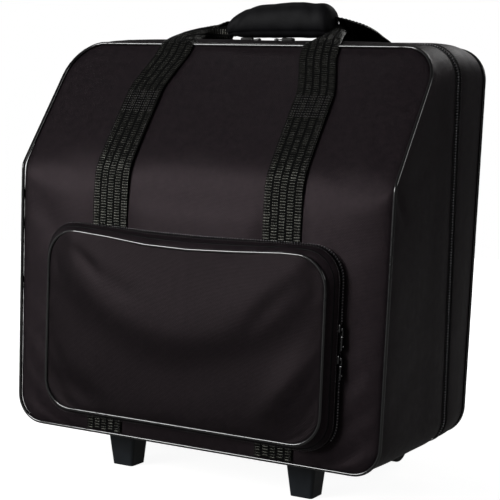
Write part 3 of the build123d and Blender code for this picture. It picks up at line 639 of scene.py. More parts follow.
def plain_weave(tree, where):
    """Plain weave with a little grit: warp and weft threads take turns on top. The threads are
    0.5 mm apart in the cloth, and drawn 1.5 mm apart so that they show."""
    thread = 0.0015
    warp, weft = (bands(way, Scale=2 * math.pi / 20 / thread)(tree, where) for way in "XY")
    turns = add(tree, "ShaderNodeTexChecker", {"Vector": where, "Scale": 1 / thread}).outputs["Fac"]
    over = add(tree, "ShaderNodeMix", {"Factor": turns, 2: warp, 3: weft}, data_type="FLOAT")
    grit = texture("ShaderNodeTexNoise", values={"Scale": 900.0})(tree, where)
    return combine(tree, "ADD", over.outputs[0], grit)


def pack_cloth(name, dark, light, shine):
    """Coated polyester pack cloth: matt black with a warm cast, even threads, faintly cloudy."""
    return material(name, dark, 0.31, (dark, light, 110.0, 0.3, 0.7, 5.0, 0.8), (90.0, 0.31, 0.39),
                    (plain_weave, 0.4, 0.00035), cut_coordinates, Specular_IOR_Level=shine,
                    Specular_Tint=colour("#ffe6ee"))


def moulded_plastic(name, dark, light, pit, rough, depth, **constants):
    """Injection-moulded plastic with spark-eroded pits, whose size is in metres."""
    pits = texture("ShaderNodeTexVoronoi", "Distance", {"Scale": 1 / pit}, feature="SMOOTH_F1")
    return material(name, dark, sum(rough) / 2, (dark, light, 24.0, 0.3, 0.72, 5.0),
                    (90.0, *rough), (pits, depth, 0.0003), **constants)


def drawn_metal(name, base, light, rough, stretch):
    """Bare metal with fine lines; stretch says along which axis they run."""
    def lines(tree):
        return add(tree, "ShaderNodeMapping", {"Vector": object_coordinates(tree),
                                               "Scale": stretch}).outputs[0]

    return material(name, base, rough, (base, light, 60.0, 0.3, 0.7, 6.0),
                    (80.0, rough - 0.08, rough + 0.1), where=lines, Metallic=1.0)


CLOTH = pack_cloth("coated_polyester_pack_cloth", "#131013", "#231d20", 0.15)
# the pocket's face takes a darker, duller copy of the same cloth: painted shade on the face
SHADED_POCKET_CLOTH = pack_cloth("pack_cloth_with_painted_shade", "#0d0b0d", "#1a1618", 0.11)
# brushed nylon lining: soft, dark grey, with a short nap
LINER = material("brushed_nylon_lining", "#2b2b2e", 0.9,
                 ("#242427", "#353538", 45.0, 0.3, 0.7, 8.0),
                 relief=(grain(700.0, 4.0), 0.5, 0.0006), Sheen_Weight=0.5,
                 Sheen_Roughness=0.5, Specular_IOR_Level=0.15)
# soft vinyl-faced cloth of the grip: smoother and cooler than the pack cloth
GRIP_CLOTH = material("vinyl_faced_grip_cloth", "#131315", 0.58,
                      ("#0d0d0f", "#171719", 60.0, 0.3, 0.7, 6.0),
                      relief=(grain(500.0, 3.0), 0.35, 0.0005), Specular_IOR_Level=0.09)
# extruded black vinyl welt: glossy, with fine scuffs and a slight orange peel
VINYL = material("extruded_vinyl_welt", "#060607", 0.3, ("#060607", "#0d0c0e", 120.0, 0.4, 0.75),
                 (160.0, 0.25, 0.4), (grain(420.0, 2.0), 0.25, 0.0006), Specular_IOR_Level=0.2,
                 Coat_Weight=1.0, Coat_Roughness=0.07, Coat_IOR=1.65)
# heavy polypropylene webbing: coarse yarns that shine where they come over the top
YARN = material("woven_polypropylene_webbing", "#060605", 0.24,
                relief=(bands("X", Scale=420.0, Distortion=0.6), 0.35, 0.0003),
                where=cut_coordinates, Specular_IOR_Level=0.54, Specular_Tint=colour("#fffff0"))
# the same yarns down between the blocks of the weave: matt and nearly black
GROOVES = material("shaded_webbing_grooves", "#050505", 0.8, Specular_IOR_Level=0.08)
# woven zipper tape: thin and flat; its ribs are 0.6 mm apart, drawn 1.6 mm apart so that they show
TAPE = material("woven_polyester_zipper_tape", "#0c0b0c", 0.55,
                ("#090809", "#121113", 200.0, 0.35, 0.65),
                relief=(bands("DIAGONAL", Scale=196.0), 0.4, 0.0003), Specular_IOR_Level=0.1)
# moulded nylon zipper coil: smooth and half glossy
COIL = material("nylon_zipper_coil", "#2a292c", 0.3, wander=(300.0, 0.22, 0.42), IOR=1.53)
# nylon zipper coil coloured pale, with its stitching: painted highlights that show as a row of
# light dots
HIGHLIT_COIL = material("nylon_coil_with_painted_highlights", "#77747a", 0.4,
                     ("#7d7a7f", "#c8c5c9", 330.0, 0.4, 0.6), IOR=1.53)
# bonded polyester sewing thread: waxy, a little lighter than the cloth
THREAD = material("bonded_polyester_thread", "#3a3739", 0.4,
                  ("#2e2b2d", "#494547", 400.0, 0.35, 0.65))
# die-cast zinc sliders in black enamel, with cloudy lighter patches here and there
ZINC = material("black_enamelled_zinc", "#0c0c0e", 0.25, ("#0a0a0c", "#232226", 260.0, 0.56, 0.78),
                (220.0, 0.16, 0.36), IOR=1.5, Coat_Weight=0.3, Coat_Roughness=0.1)
FOOT = moulded_plastic("moulded_abs_foot", "#1a1d21", "#21262b", 0.0012, (0.3, 0.42), 0.12,
                       IOR=1.46)
CARRIAGE = moulded_plastic("moulded_nylon_carriage", "#161618", "#222225", 0.0014, (0.4, 0.55), 0.4,
                           IOR=1.53)
BUTTON = moulded_plastic("moulded_abs_button", "#303136", "#3a3b41", 0.001, (0.3, 0.42), 0.25)
TYRE = moulded_plastic("moulded_rubber_tyre", "#141414", "#242322", 0.0016, (0.6, 0.78), 0.5)
BUSH = moulded_plastic("turned_acetal_bush", "#c9c7bd", "#dad8ce", 0.002, (0.3, 0.4), 0.1)
ANODISED = drawn_metal("anodised_aluminium_tube", "#a9abb0", "#c4c6ca", 0.34, (40.0, 40.0, 1.0))
STEEL = drawn_metal("zinc_plated_steel", "#8d8f92", "#b3b5b6", 0.32, (1.0, 18.0, 18.0))
REPEAT = repeat_tree()


# ---- the padded bag -------------------------------------------------------------------------
def ring_heights():
    """Heights of the half outline, used to find the front and the zipper at every point."""
    return bag_half(SETBACK)[1]


def padding(name, outer, inner, wrap, body, nodes, cloth=CLOTH):
    """A wall of cloth over foam that stands for CAD nodes."""
    made = wall(name, outer, inner, wrap, cloth, body, nodes)


def front_panel():
    """Front panel: it bends at the foot of the slope, and the sewn straps press it flat."""
    def bent(gx, gz):
        side = np.clip(np.abs(gx) / 250.0, 0, 1)
        return front_depth(gz, 15.0 - 8.0 * side ** 3)

    pattern = face_grid(*bag_half(SETBACK), STRETCHES, 61, bent)
    outward = grid_normals(pattern, False, BAG_MIDDLE)
    away = edge_distance(pattern, False)
    front = pad_out(settle(pattern, 1.2, *SLACK_CLOTH), outward, away, 2.6, 30.0, 2.2, 3)
    folds = creases(pattern[..., [0, 2]],
                    ((-205, 395), (-120, 388), 9, 1.2), ((-60, 386), (60, 383), 12, 0.9),
                    ((180, 392), (246, 388), 8, 1.6), ((-250, 372), (-196, 300), 16, 1.1))
    front = front + outward * folds[..., None]
    rise = np.sum((front - pattern) * outward, axis=-1)
    under = np.exp(-((np.abs(pattern[..., 0]) - STRAP_X) / 33.0) ** 8)
    front = front - outward * (under * np.maximum(rise - STRAP_BED, 0))[..., None]
    padding("front_panel_padding", front, pattern - outward * WALL, False, "front_shell",
            ["front_panel"])


def shell_gusset():
    """Side strip of the front shell, with dimples in its sides and a soft rise on its top."""
    z = ring_heights()
    start = front_depth(z, EDGE_SOFT) + 0.4
    end = zip_depth(z) - ZIP_EDGE
    pattern = side_strip(start, end, 24)
    outward = grid_normals(pattern, True, BAG_MIDDLE)
    away = edge_distance(pattern, True)
    side = pad_out(pattern, outward, away, 1.8, 26.0, 1.8, 11)
    x, flat = pattern[..., 0], pattern[..., [1, 2]]
    right = creases(flat, ((3, 384), (34, 348), 5, 3.4), ((40, 396), (96, 402), 8, 1.5),
                    ((60, 250), (150, 215), 20, 1.3), ((20, 130), (90, 165), 18, 1.1),
                    ((110, 470), (165, 430), 12, 1.2))
    left = creases(flat, ((15, 365), (80, 345), 10, 1.7), ((60, 180), (150, 235), 20, 1.2))
    swell = hump(pattern[..., 1] - 146, 20) * off_seam(away, 9)
    swell = swell * np.clip(1 - (x / 215) ** 4, 0, 1) * (pattern[..., 2] > 500)
    for lift in (right * (x > 200), TOP_SWELL * swell, left * (x < -200)):
        side = side + outward * lift[..., None]
    padding("shell_gusset_padding", side, side_strip(start + 6, end, 24, WALL), True,
            "front_shell", ["shell_gusset"])


def lid_walls():
    """Side strip and back panel of the lid."""
    z = ring_heights()
    start = zip_depth(z) + ZIP_EDGE
    end = np.full_like(z, DEPTH - 0.4)
    pattern = side_strip(start, end, 14)
    outward = grid_normals(pattern, True, BAG_MIDDLE)
    side = pad_out(pattern, outward, edge_distance(pattern, True), 1.3, 18.0, 1.6, 21)
    padding("lid_gusset_padding", side, side_strip(start, end - 8, 14, WALL), True, "lid",
            ["lid_gusset"])

    pattern = face_grid(*bag_half(DEPTH), STRETCHES, 61, lambda gx, gz: DEPTH + 0 * gx)
    outward = grid_normals(pattern, False, BAG_MIDDLE)
    # the handle and the straps hold the back flat, so it only sinks at its seams
    back = pad_out(pattern, outward, edge_distance(pattern, False), 0.3, 20.0, 2.0, 27)
    back[..., 1] = np.minimum(back[..., 1], DEPTH + 0.25)
    padding("back_panel_padding", back, pattern - outward * WALL, False, "lid", ["back_panel"])


def lining(name, grid, wrap, body, nodes):
    """Thin loose lining that lies on the inside of the padded walls."""
    inward = -grid_normals(grid, wrap, (0.0, 170.0, 300.0))
    loose = 0.5 * bumps(grid, 60.0, 41) * off_seam(edge_distance(grid, wrap), 20.0)
    inner = grid + inward * (1.0 + np.maximum(loose, 0))[..., None]
    made = wall(name, grid + inward * 0.15, inner, wrap, LINER, body, nodes)
    across = max(lengths(row)[-1] for row in grid) / 1000
    down = max(lengths(grid[:, k])[-1] for k in range(grid.shape[1])) / 1000


def linings():
    """Linings of the front shell and of the lid."""
    z, inset = ring_heights(), WALL + 0.1
    strip = side_strip(front_depth(z, EDGE_SOFT) + WALL, zip_depth(z) - ZIP_EDGE - 1.5, 14, inset)
    lining("shell_side_lining", strip, True, "front_shell", ["shell_lining"])
    face = face_grid(*bag_half(SETBACK, inset), STRETCHES, 41,
                     lambda gx, gz: front_depth(gz + 3.3, 18.0) + WALL)
    lining("shell_front_lining", face, False, "front_shell", ["shell_lining"])
    strip = side_strip(zip_depth(z) + ZIP_EDGE + 1.5, np.full_like(z, DEPTH - WALL), 8, inset)
    lining("lid_side_lining", strip, True, "lid", ["lid_lining"])
    face = face_grid(*bag_half(DEPTH, inset), STRETCHES, 41,
                     lambda gx, gz: DEPTH - WALL - 0.1 + 0 * gx)
    lining("lid_back_lining", face, False, "lid", ["lid_lining"])


def rim_path(depth_of, y=None, inset=0.0, step=3.0):
    """Path round the bag with its outward directions; depth comes from the height of each point."""
    x, z = bag_half(SETBACK if y is None else y, inset)
    depth = depth_of(z)
    if y is None:
        x, z = bag_half(depth, inset)
        depth = depth_of(z)
    ring = resample(both_halves(np.stack([x, depth, z], 1)), step)
    ring[:, 1] = depth_of(ring[:, 2])
    tangent = unit(np.gradient(ring[:, [0, 2]], axis=0))
    outward = np.stack([tangent[:, 1], 0 * tangent[:, 0], -tangent[:, 0]], 1)
    return ring, outward


def welts():
    """Glossy welts sewn into the edges of the front and the back panel."""
    for name, (path, outward), lean, body, seed in (
            ("front", rim_path(lambda z: front_depth(z, 3.0), y=SETBACK), -0.8, "front_shell", 5),
            ("back", rim_path(lambda z: DEPTH + 0 * z, y=DEPTH), 0.8, "lid", 6)):
        tube(name + "_welt", path, unit(outward + np.array([0.0, lean, 0.0])), 2.15, VINYL, body,
             [name + "_piping"], wobble=0.06, seed=seed)


def outside_hinge(x, z):
    """Whether points lie clear of the sewn hinge, which takes the zipper's place."""
    return (np.abs(x) > HINGE_HALF) | (z > HINGE_TOP)


def main_zipper():
    """Both halves of the main zipper with its coil and the stitching beside it."""
    z = ring_heights()
    for side, body, sign in (("shell", "front_shell", -1), ("lid", "lid", 1)):
        low, high = sorted((1.7, 7.0), reverse=sign < 0)
        outer, inner = (side_strip(zip_depth(z) + sign * low, zip_depth(z) + sign * high, 4, inset)
                        for inset in (1.1, 2.3))
        keep = outside_hinge(outer[0, :, 0], outer[0, :, 2])
        wall(side + "_zipper_tape", outer[:, keep], inner[:, keep], False, TAPE, body,
             [side + "_zip_tape"], levels=0)
        path, outward = rim_path(lambda h: zip_depth(h) + sign * 1.35)
        above = path[:, 2] > GROUND + 14
        # on the shell's half the coil is coloured pale: painted highlights along the zipper
        along_seams(side + "_zipper_coil", [(path[above], outward[above])], COIL_PITCH,
                    (1.8, 2.2, 2.2), 0.1, HIGHLIT_COIL if sign < 0 else COIL, body)
        path, outward = rim_path(lambda h: zip_depth(h) + sign * (ZIP_EDGE + 2.4))
        keep = outside_hinge(path[:, 0], path[:, 2])
        along_seams(side + "_zipper_stitches", [(path[keep], outward[keep])], 3.6,
                    (2.5, 0.75, 0.6), 0.2, THREAD, body)
    path, outward = rim_path(lambda h: zip_depth(h) + ZIP_EDGE + 3.2)
    keep = outside_hinge(path[:, 0], path[:, 2])
    along_seams("lid_zipper_ribs", [(path[keep], outward[keep])], 2.8, (2.3, 7.4, 1.5), 0.5, TAPE,
                "lid")


def pull_sleeves():
    """Rubber sleeves on the pulls of the main zipper."""
    depth = ZIP_BACK - ZIP_LEAN
    near, far = SECTIONS[1], SECTIONS[2]
    height = GROUND + near[1] + (far[1] - near[1]) * (depth - near[0]) / (far[0] - near[0])
    up = unit([0.0, -ZIP_LEAN, CROWN])
    at = np.array([0.0, 0.25, 1.2, 3.0, 8.0, 13.0, 15.6, 17.0, 17.6, 17.8])
    share = np.array([0.02, 0.55, 0.86, 1.0, 0.94, 1.0, 0.9, 0.66, 0.4, 0.02])
    turn = np.linspace(0, 2 * math.pi, 21)
    wide = np.sign(np.cos(turn)) * np.abs(np.cos(turn)) ** 0.55 * SLEEVE[0]
    thick = np.sign(np.sin(turn)) * np.abs(np.sin(turn)) ** 0.55 * SLEEVE[1]
    for name, sign in (("left", -1), ("right", 1)):
        along = np.array([sign, 0.0, 0.0])
        across = np.cross(up, along)
        pin = np.array([sign * 13.0, depth, height]) + up * PIN_HEIGHT
        grid = (pin + along * (8.2 + at)[:, None, None]
                + across * (share[:, None] * wide[None, :])[..., None]
                + up * (share[:, None] * thick[None, :])[..., None])
        uv = np.stack(np.broadcast_arrays(at[:, None], turn[None, :]), -1).reshape(-1, 2)
        piece("main_pull_sleeve_" + name, grid.reshape(-1, 3), grid_faces(len(at), len(turn)), TYRE,
              "main_pull_" + name, (), uv)


def hinge_cloth():
    """Strip of cloth that joins the lid to the front shell along the bottom."""
    x = np.linspace(-HINGE_HALF + 1, HINGE_HALF - 1, 60)
    middle = zip_depth(GROUND)
    y = np.linspace(middle - HINGE_REACH, middle + HINGE_REACH, 15)
    gx, gy = np.meshgrid(x, y)
    across = (gy - middle) / HINGE_REACH
    z = GROUND + 2.9 - 2.2 * smooth_step(1.3 * (1 - np.abs(across)))
    z = z + 0.3 * bumps(np.stack([gx, gy, 0 * gx], -1), 22.0, 8)
    lower = np.stack([gx, gy, z], -1)
    upper = lower + np.array([0.0, 0.0, 1.4])
    made = wall("bottom_hinge_cloth", lower, upper, False, CLOTH, "front_shell",
                ["cloth_hinge"])
    made.parent = None
    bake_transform(made)


# ---- pocket ---------------------------------------------------------------------------------
def sagging(flat, height, sag, half, rise):
    """Belly of loose cloth that hangs between two corners: steeper below its crest than above."""
    share = np.clip(np.abs(flat[..., 0]) / half, 0, 1)
    above = flat[..., 1] - (height - sag * (1 - share ** 2))
    reach = np.where(above > 0, 54.0, 34.0)
    return rise * hump(above, reach) * (1 - share ** 6)


def pocket_band(name, y_start, y_end, outer, inner, cloth, body, nodes):
    """Band round the pocket between two depths; outer and inner are the insets of its faces."""
    outer, inner = (np.array([pocket_ring(y, inset) for y in np.linspace(y_start, y_end, 4)])
                    for inset in (outer, inner))
    return wall(name, outer, inner, True, cloth, body, nodes, levels=0)


def pocket_zipper():
    """Frame of the pocket on the bag, and both halves of its zipper."""
    band = pocket_band("pocket_frame_cloth", 0.3, -7.4, -0.2, 2.4, CLOTH, "front_shell",
                       ["pocket_frame"])
    for name, body, y0, y1, y_coil, coil in (
            # the back coil is coloured pale: painted highlights along the pocket's zipper
            ("back", "front_shell", -5.0, -8.9, POCKET_ZIP + 1.25, HIGHLIT_COIL),
            ("front", "pocket_door", -11.1, -15.0, POCKET_ZIP - 1.25, COIL)):
        pocket_band("pocket_tape_" + name, y0, y1, 0.8, 1.9, TAPE, body,
                    ["pocket_zip_tape_" + name])
        ring = resample(pocket_ring(y_coil, 0.6), 3.0)
        outward = ring_outward(ring)
        start = int(np.argmin(ring[:, 2] + 0.2 * np.abs(ring[:, 0])))
        ring, outward = np.roll(ring[:-1], -start, axis=0), np.roll(outward[:-1], -start, axis=0)
        above = ring[:, 2] > POCKET_LOW + 16
        along_seams("pocket_coil_" + name, [(ring[above], outward[above])], COIL_PITCH,
                    (1.8, 2.0, 1.8), 1.2, coil, body)


def pocket_sides():
    """Padded sides of the pocket's cover, with a few pleats along the top."""
    rows = np.linspace(-12.4, POCKET_FRONT + 1.2, 10)
    pattern = np.array([pocket_ring(y) for y in rows])
    outward = grid_normals(pattern, True, POCKET_MIDDLE)
    away = edge_distance(pattern, True)
    sides = pad_out(pattern, outward, away, 1.5, 8.0, 0.8, 61)
    sunk = sum(deep * hump(pattern[..., 0] - px, width)
               for px, width, deep in ((-150, 5, 1.8), (-138, 4, 1.4), (118, 6, 1.3),
                                       (160, 5, 1.6), (-40, 9, 0.8)))
    pleats = -sunk * (pattern[..., 2] > 250) * np.sin(math.pi * np.clip(away / 18, 0, 0.5))
    sides = sides + outward * pleats[..., None]
    inner = np.array([pocket_ring(y, 2.6) for y in rows])
    padding("pocket_cover_sides", sides, inner, True, "pocket_door", ["pocket_cover"])


def pocket_face():
    """Loose padded face of the pocket's cover, which hangs in a belly fold."""
    half, low, high = POCKET_FACE
    x, z = pocket_half(half - 0.6, low + 0.6, high - 0.6, POCKET_CORNER)
    pattern = face_grid(x, z, POCKET_STRETCHES, 71, lambda gx, gz: POCKET_FRONT + 0 * gx)
    pattern[..., 2] += pocket_droop(pattern[..., 0], pattern[..., 2], POCKET_FRONT)
    away = edge_distance(pattern, False)
    outward = np.broadcast_to(np.array([0.0, -1.0, 0.0]), pattern.shape)
    start = pattern + outward * (2.0 * off_seam(away, 30.0))[..., None]
    face = settle(start, 1.4, *SLACK_CLOTH)
    face = face + outward * (1.5 * bumps(face, 80.0, 71) * off_seam(away, 25))[..., None]
    face = face + outward * (0.6 * bumps(face, 15.0, 73) * np.exp(-away / 14))[..., None]
    flat = pattern[..., [0, 2]]
    folds = creases(flat, ((-150, 288), (-112, 258), 6, 3.0), ((-112, 258), (-60, 236), 12, 1.4),
                    ((176, 190), (112, 108), 17, -3.8), ((150, 268), (96, 214), 12, 2.4),
                    ((-176, 128), (-110, 100), 14, 2.0))
    folds = folds + sagging(flat, 286.0, 84.0, 178.0, 6.0)
    face = face + outward * folds[..., None]
    face[..., 1] = np.maximum(face[..., 1], POCKET_REACH)
    # the face takes the darker, duller copy of the cloth: painted shade
    padding("pocket_cover_face", face, pattern + np.array([0.0, 2.8, 0.0]), False, "pocket_door",
            ["pocket_cover"], SHADED_POCKET_CLOTH)


def pocket_trim():
    """Welts and stitches of the pocket's cover."""
    path = resample(pocket_ring(POCKET_FRONT), 2.5)
    lean = unit(ring_outward(path) + np.array([0.0, -1.0, 0.0]))
    tube("pocket_front_welt", path, lean, 2.0, VINYL, "pocket_door",
         ["pocket_piping"], wobble=0.1, seed=7)
    path = resample(pocket_ring(POCKET_SIDE_WELT, 0.2), 2.5)
    tube("pocket_side_welt", path, ring_outward(path), 1.5, TAPE, "pocket_door",
         ["pocket_welt"], sides=8, wobble=0.08, seed=8)
    path = resample(pocket_ring(-16.8, -1.0), 3.0)
    along_seams("pocket_side_stitches", [(path, ring_outward(path))], STITCH_PITCH,
                (2.4, 0.7, 0.6), 0.0, THREAD, "pocket_door")


def ring_outward(path):
    """Directions out of a ring in an upright plane."""
    long_way = np.concatenate([path[-2:-1], path, path[1:2]])
    tangent = unit((long_way[2:] - long_way[:-2]) * np.array([1.0, 0.0, 1.0]))
    return np.stack([tangent[:, 2], 0 * tangent[:, 0], -tangent[:, 0]], 1)


# ---- webbing --------------------------------------------------------------------------------
ROW = 3.4                   # rows of the webbing's weave are this far apart
COLUMNS = 5                 # blocks of the weave side by side
BLOCK_EDGE = 0.18           # the smaller, the squarer the blocks are across
GROOVE_BELOW = 0.42         # faces whose crown is lower than this lie in a groove


def ribbon(name, stations, body, nodes):
    """Woven webbing along stations of (centre, across, outward, cup); cup is its curve in mm."""
    centre = np.array([s[0] for s in stations], float)
    across = unit([s[1] for s in stations])
    outward = unit([s[2] for s in stations])
    cup = np.array([s[3] for s in stations], float)
    along = lengths(centre)
    at = np.arange(0, along[-1], 0.7)
    centre = ease(along, centre, at)
    across = unit(ease(along, across, at))
    outward = ease(along, outward, at)
    outward = unit(outward - across * np.sum(outward * across, axis=1, keepdims=True))
    cup = np.interp(at, along, cup)
    t = np.linspace(-WEBBING / 2, WEBBING / 2, 36)
    bend = cup[:, None]
    turn = t[None, :] / (WEBBING / 2) * bend
    wide = np.where(bend < 1e-4, t[None, :], np.sin(turn) / np.maximum(bend, 1e-4) * WEBBING / 2)
    drop = np.where(bend < 1e-4, 0.0, (1 - np.cos(turn)) / np.maximum(bend, 1e-4) * WEBBING / 2)
    block = np.floor((t + WEBBING / 2) / WEBBING * COLUMNS * 0.9999)
    within = (t + WEBBING / 2) / WEBBING * COLUMNS - block
    round_edge = np.clip(np.sin(math.pi * within), 0, 1) ** BLOCK_EDGE
    phase = 2 * math.pi * (at[:, None] / ROW + 0.5 * (block[None, :] % 2))
    crown = (0.5 + 0.5 * np.sin(phase)) * round_edge[None, :]
    selvedge = np.clip((WEBBING / 2 - np.abs(t)) / 2.2, 0, 1)
    crown = crown * selvedge[None, :] + 0.45 * (1 - selvedge[None, :])
    thick = 0.75 + 0.25 * np.sqrt(selvedge)
    base = centre[:, None, :] + across[:, None, :] * wide[..., None]
    base = base - outward[:, None, :] * drop[..., None]
    local = unit(outward[:, None, :] * np.cos(turn)[..., None]
                 + across[:, None, :] * np.sin(turn)[..., None])
    face = base + local * (thick[None, :] * (0.5 + 0.6 * crown))[..., None]
    back = base - local * (thick[None, :] * (0.6 + 0.3 * (1 - crown)))[..., None]
    rows, columns = face.shape[:2]
    uv = np.stack(np.broadcast_arrays(t[None, :], at[:, None]), -1).reshape(-1, 2)
    points = np.concatenate([face.reshape(-1, 3), back.reshape(-1, 3)])
    made = piece(name, points, wall_faces(rows, columns, False), YARN, body, nodes,
                 np.concatenate([uv, uv]))
    made.data.materials.append(GROOVES)
    corner = crown[:-1, :-1] + crown[1:, :-1] + crown[:-1, 1:] + crown[1:, 1:]
    low = np.ones(len(made.data.polygons), dtype=np.int32)
    low[:corner.size] = corner.ravel() < 4 * GROOVE_BELOW
    made.data.polygons.foreach_set("material_index", low)


def ease(along, values, at):
    """Smooth curve through values that are given at distances along a path."""
    slope = np.gradient(values, along, axis=0)
    k = np.clip(np.searchsorted(along, at, side="right") - 1, 0, len(along) - 2)
    span = (along[k + 1] - along[k])[:, None]
    t = (at - along[k])[:, None] / span
    a, b, m, n = values[k], values[k + 1], slope[k] * span, slope[k + 1] * span
    return ((2 * t ** 3 - 3 * t ** 2 + 1) * a + (t ** 3 - 2 * t ** 2 + t) * m
            + (-2 * t ** 3 + 3 * t ** 2) * b + (t ** 3 - t ** 2) * n)


SLOPE_OUT = unit([0.0, -1.0, SLOPE])
LEVEL = (1.0, 0.0, 0.0)
BACKWARDS = (0.0, 1.0, 0.0)


def on_front(x, height, lift):
    """Station of a strap that lies on the bent front, at a height above the underside."""
    z = GROUND + height
    y = float(front_depth(np.array(z), 13.0))
    share = float(smooth_step((height - BEND + 10) / 20))
    outward = unit(np.array([0.0, -1.0, 0.0]) * (1 - share) + SLOPE_OUT * share)
    return np.array([x, y, z]) + outward * lift, LEVEL, outward, 0.0


def over_the_edge(fold, inward):
    """Stations of the loose front webbing: off the slope, over the edge and folded into the grip.
    Inward is how strongly it is pulled in on its way, from 0 to 1."""
    return [((STRAP_X, 72.5, GROUND + 431), LEVEL, SLOPE_OUT, 0.0, 3.4),
            ((113.5, 89, GROUND + 454), LEVEL, SLOPE_OUT, 0.0, 2.6),
            ((105, 106.5, GROUND + 478), LEVEL, SLOPE_OUT, 0.05, 2.2),
            ((103, 117, GROUND + 496.5), LEVEL, (0, -0.6, 0.8), 0.15, 0.0),
            ((103.5 - 5 * inward, 131, GROUND + 504), (0.99, 0.0, 0.1), (0, -0.25, 0.97), 0.5, 0.0),
            ((104.5 - 12 * inward, 150, GROUND + 509), (0.95, 0.0, 0.3), (-0.2, -0.1, 0.95),
             0.5 * fold, 0.0),
            ((105 - 20 * inward, 172, GROUND + 512.5), (0.8, 0.15, 0.55), (-0.45, -0.15, 0.8),
             0.75 * fold, 0.0),
            ((101.5 - 23 * inward, 191, GROUND + 515), (0.5, 0.3, 0.8), (-0.45, -0.6, 0.6),
             0.9 * fold, 0.0),
            ((91 - 19 * inward, 200.5, GROUND + 515.5), (0.15, 0.2, 0.97), (-0.2, -0.95, 0.2),
             fold, 0.0),
            ((76 - 14 * inward, GRIP_Y, GROUND + 515.5), (0, 0.1, 1), (0, -1, 0.15), fold, 0.0)]


def over_the_back(fold, sink):
    """Stations of the rear webbing, up the back panel and over its edge into the grip.
    Sink is how much lower it hangs on its way to the grip, in millimetres."""
    up_the_back = [((STRAP_X, DEPTH + 1.6, z), LEVEL, BACKWARDS, 0.0, 0.0)
                   for z in (128, 220, 330, 430, 505)]
    return up_the_back + [
        ((119, DEPTH + 1.8, 530), LEVEL, BACKWARDS, 0.0, 0.0),
        ((115.5, DEPTH + 3.2, 549), (1, 0, 0.05), (0, 0.97, 0.2), 0.1, 0.0),
        ((109, DEPTH - 2, 562 - sink / 3), (0.98, 0, 0.2), (-0.1, 0.72, 0.66), 0.4 * fold, 0.0),
        ((104, DEPTH - 16, 570.5 - sink), (0.93, 0, 0.36), (-0.25, 0.35, 0.87), 0.65 * fold, 0.0),
        ((101, 240, 575 - sink), (0.75, -0.2, 0.62), (-0.4, 0.35, 0.8), 0.85 * fold, 0.0),
        ((94, 224, 577 - sink), (0.4, -0.3, 0.86), (-0.35, 0.8, 0.4), fold, 0.0),
        ((78, 219.5, 576 - sink / 2), (0.05, -0.05, 1), (0, 1, 0.1), fold, 0.0)]


def mirrored(stations, sign):
    """Stations of one side's strap; a station's last value lifts its centre off what it lies on."""
    flip = np.array([sign, 1.0, 1.0])
    return [((np.array(centre, float) + unit(outward) * lift) * flip,
             np.array(across, float) * flip, unit(outward) * flip, cup)
            for centre, across, outward, cup, lift in stations]


def straps():
    """Front and rear carry straps, in two halves each, that run into the wrapped grip, and the
    tie straps inside. The left carry strap is folded tighter, and the right one pulled in."""
    sewn = (4, 60, 140, 220, 262, 300, 316, 325, 332, 339, 348, 364, 392, 420)
    for side, sign, fold, inward, sink in (("left", -1, 2.1, 0.0, 6.0),
                                           ("right", 1, 1.7, 1.0, 0.0)):
        stations = [on_front(sign * STRAP_X, height, 3.2) for height in sewn]
        stations = [(c, np.array(a) * sign, o, cup) for c, a, o, cup in stations]
        stations += mirrored(over_the_edge(fold, inward), sign)
        ribbon("front_strap_" + side, stations, "front_shell", ["front_carry_strap"])
        ribbon("rear_strap_" + side, mirrored(over_the_back(fold, sink), sign), "lid",
               ["rear_carry_strap"])
        tie = []
        x, z = bag_half(115.0, 10.0)
        upright = slice(STRETCHES[0] + STRETCHES[1], sum(STRETCHES[:3]))
        for height in (98, 130, 165, 205, 245, 285, 316):
            wall_x = float(np.interp(GROUND + height, z[upright], x[upright])) - 1.2
            tie.append(((wall_x, 114.0, GROUND + height), (0, 1, 0), (-1, 0, 0), 0.0, 0.0))
        ribbon("tie_strap_" + side, mirrored(tie, sign), "front_shell", ["inner_strap_" + side])


def strap_stitches():
    """Rows of close stitching that hold the straps to the slope, and rows along their edges."""
    front, rear = [], []
    for sign in (-1, 1):
        for height in np.arange(404.0, 429.0, 3.0):
            ends = [on_front(sign * STRAP_X + x, height, 4.7) for x in (-21, 21)]
            front.append((np.array([e[0] for e in ends]), ends[0][2]))
        for edge in (-STRAP_EDGE, STRAP_EDGE):
            for low, high in ((6, 22), (262, 404)):
                spots = [on_front(sign * STRAP_X + edge, h, 4.4) for h in range(low, high + 1, 8)]
                front.append((np.array([s[0] for s in spots]), np.array([s[2] for s in spots])))
            line = [(sign * STRAP_X + edge, DEPTH + 2.9, z) for z in (130, 535)]
            rear.append((np.array(line, float), np.array(BACKWARDS)))
    for name, runs, body in (("strap_stitches", front, "front_shell"),
                             ("rear_strap_stitches", rear, "lid")):
        along_seams(name, runs, STITCH_PITCH, STITCH, 0.0, THREAD, body)


# ---- grip -----------------------------------------------------------------------------------
def grip_rows():
    """Places across the grip, its height at each, and how far its ends are closed in."""
    left, right = GRIP_SHAPE[0, 0], GRIP_SHAPE[-1, 0]
    x = np.concatenate([left + 9 * (1 - np.cos(np.linspace(0, 1.5, 7))), np.linspace(-64, 66, 33),
                        right - 9 * (1 - np.cos(np.linspace(1.5, 0, 8)))])
    height = np.interp(x, GRIP_SHAPE[:, 0], GRIP_SHAPE[:, 1])
    closing = np.sqrt(1 - (1 - np.clip((x - left) / 7, 0, 1)) ** 2) * 0.6 + 0.4
    blunt = np.sqrt(1 - (1 - np.clip((right - x) / 9, 0, 1)) ** 2) * 0.65 + 0.35
    return x, height, np.minimum(closing, blunt)


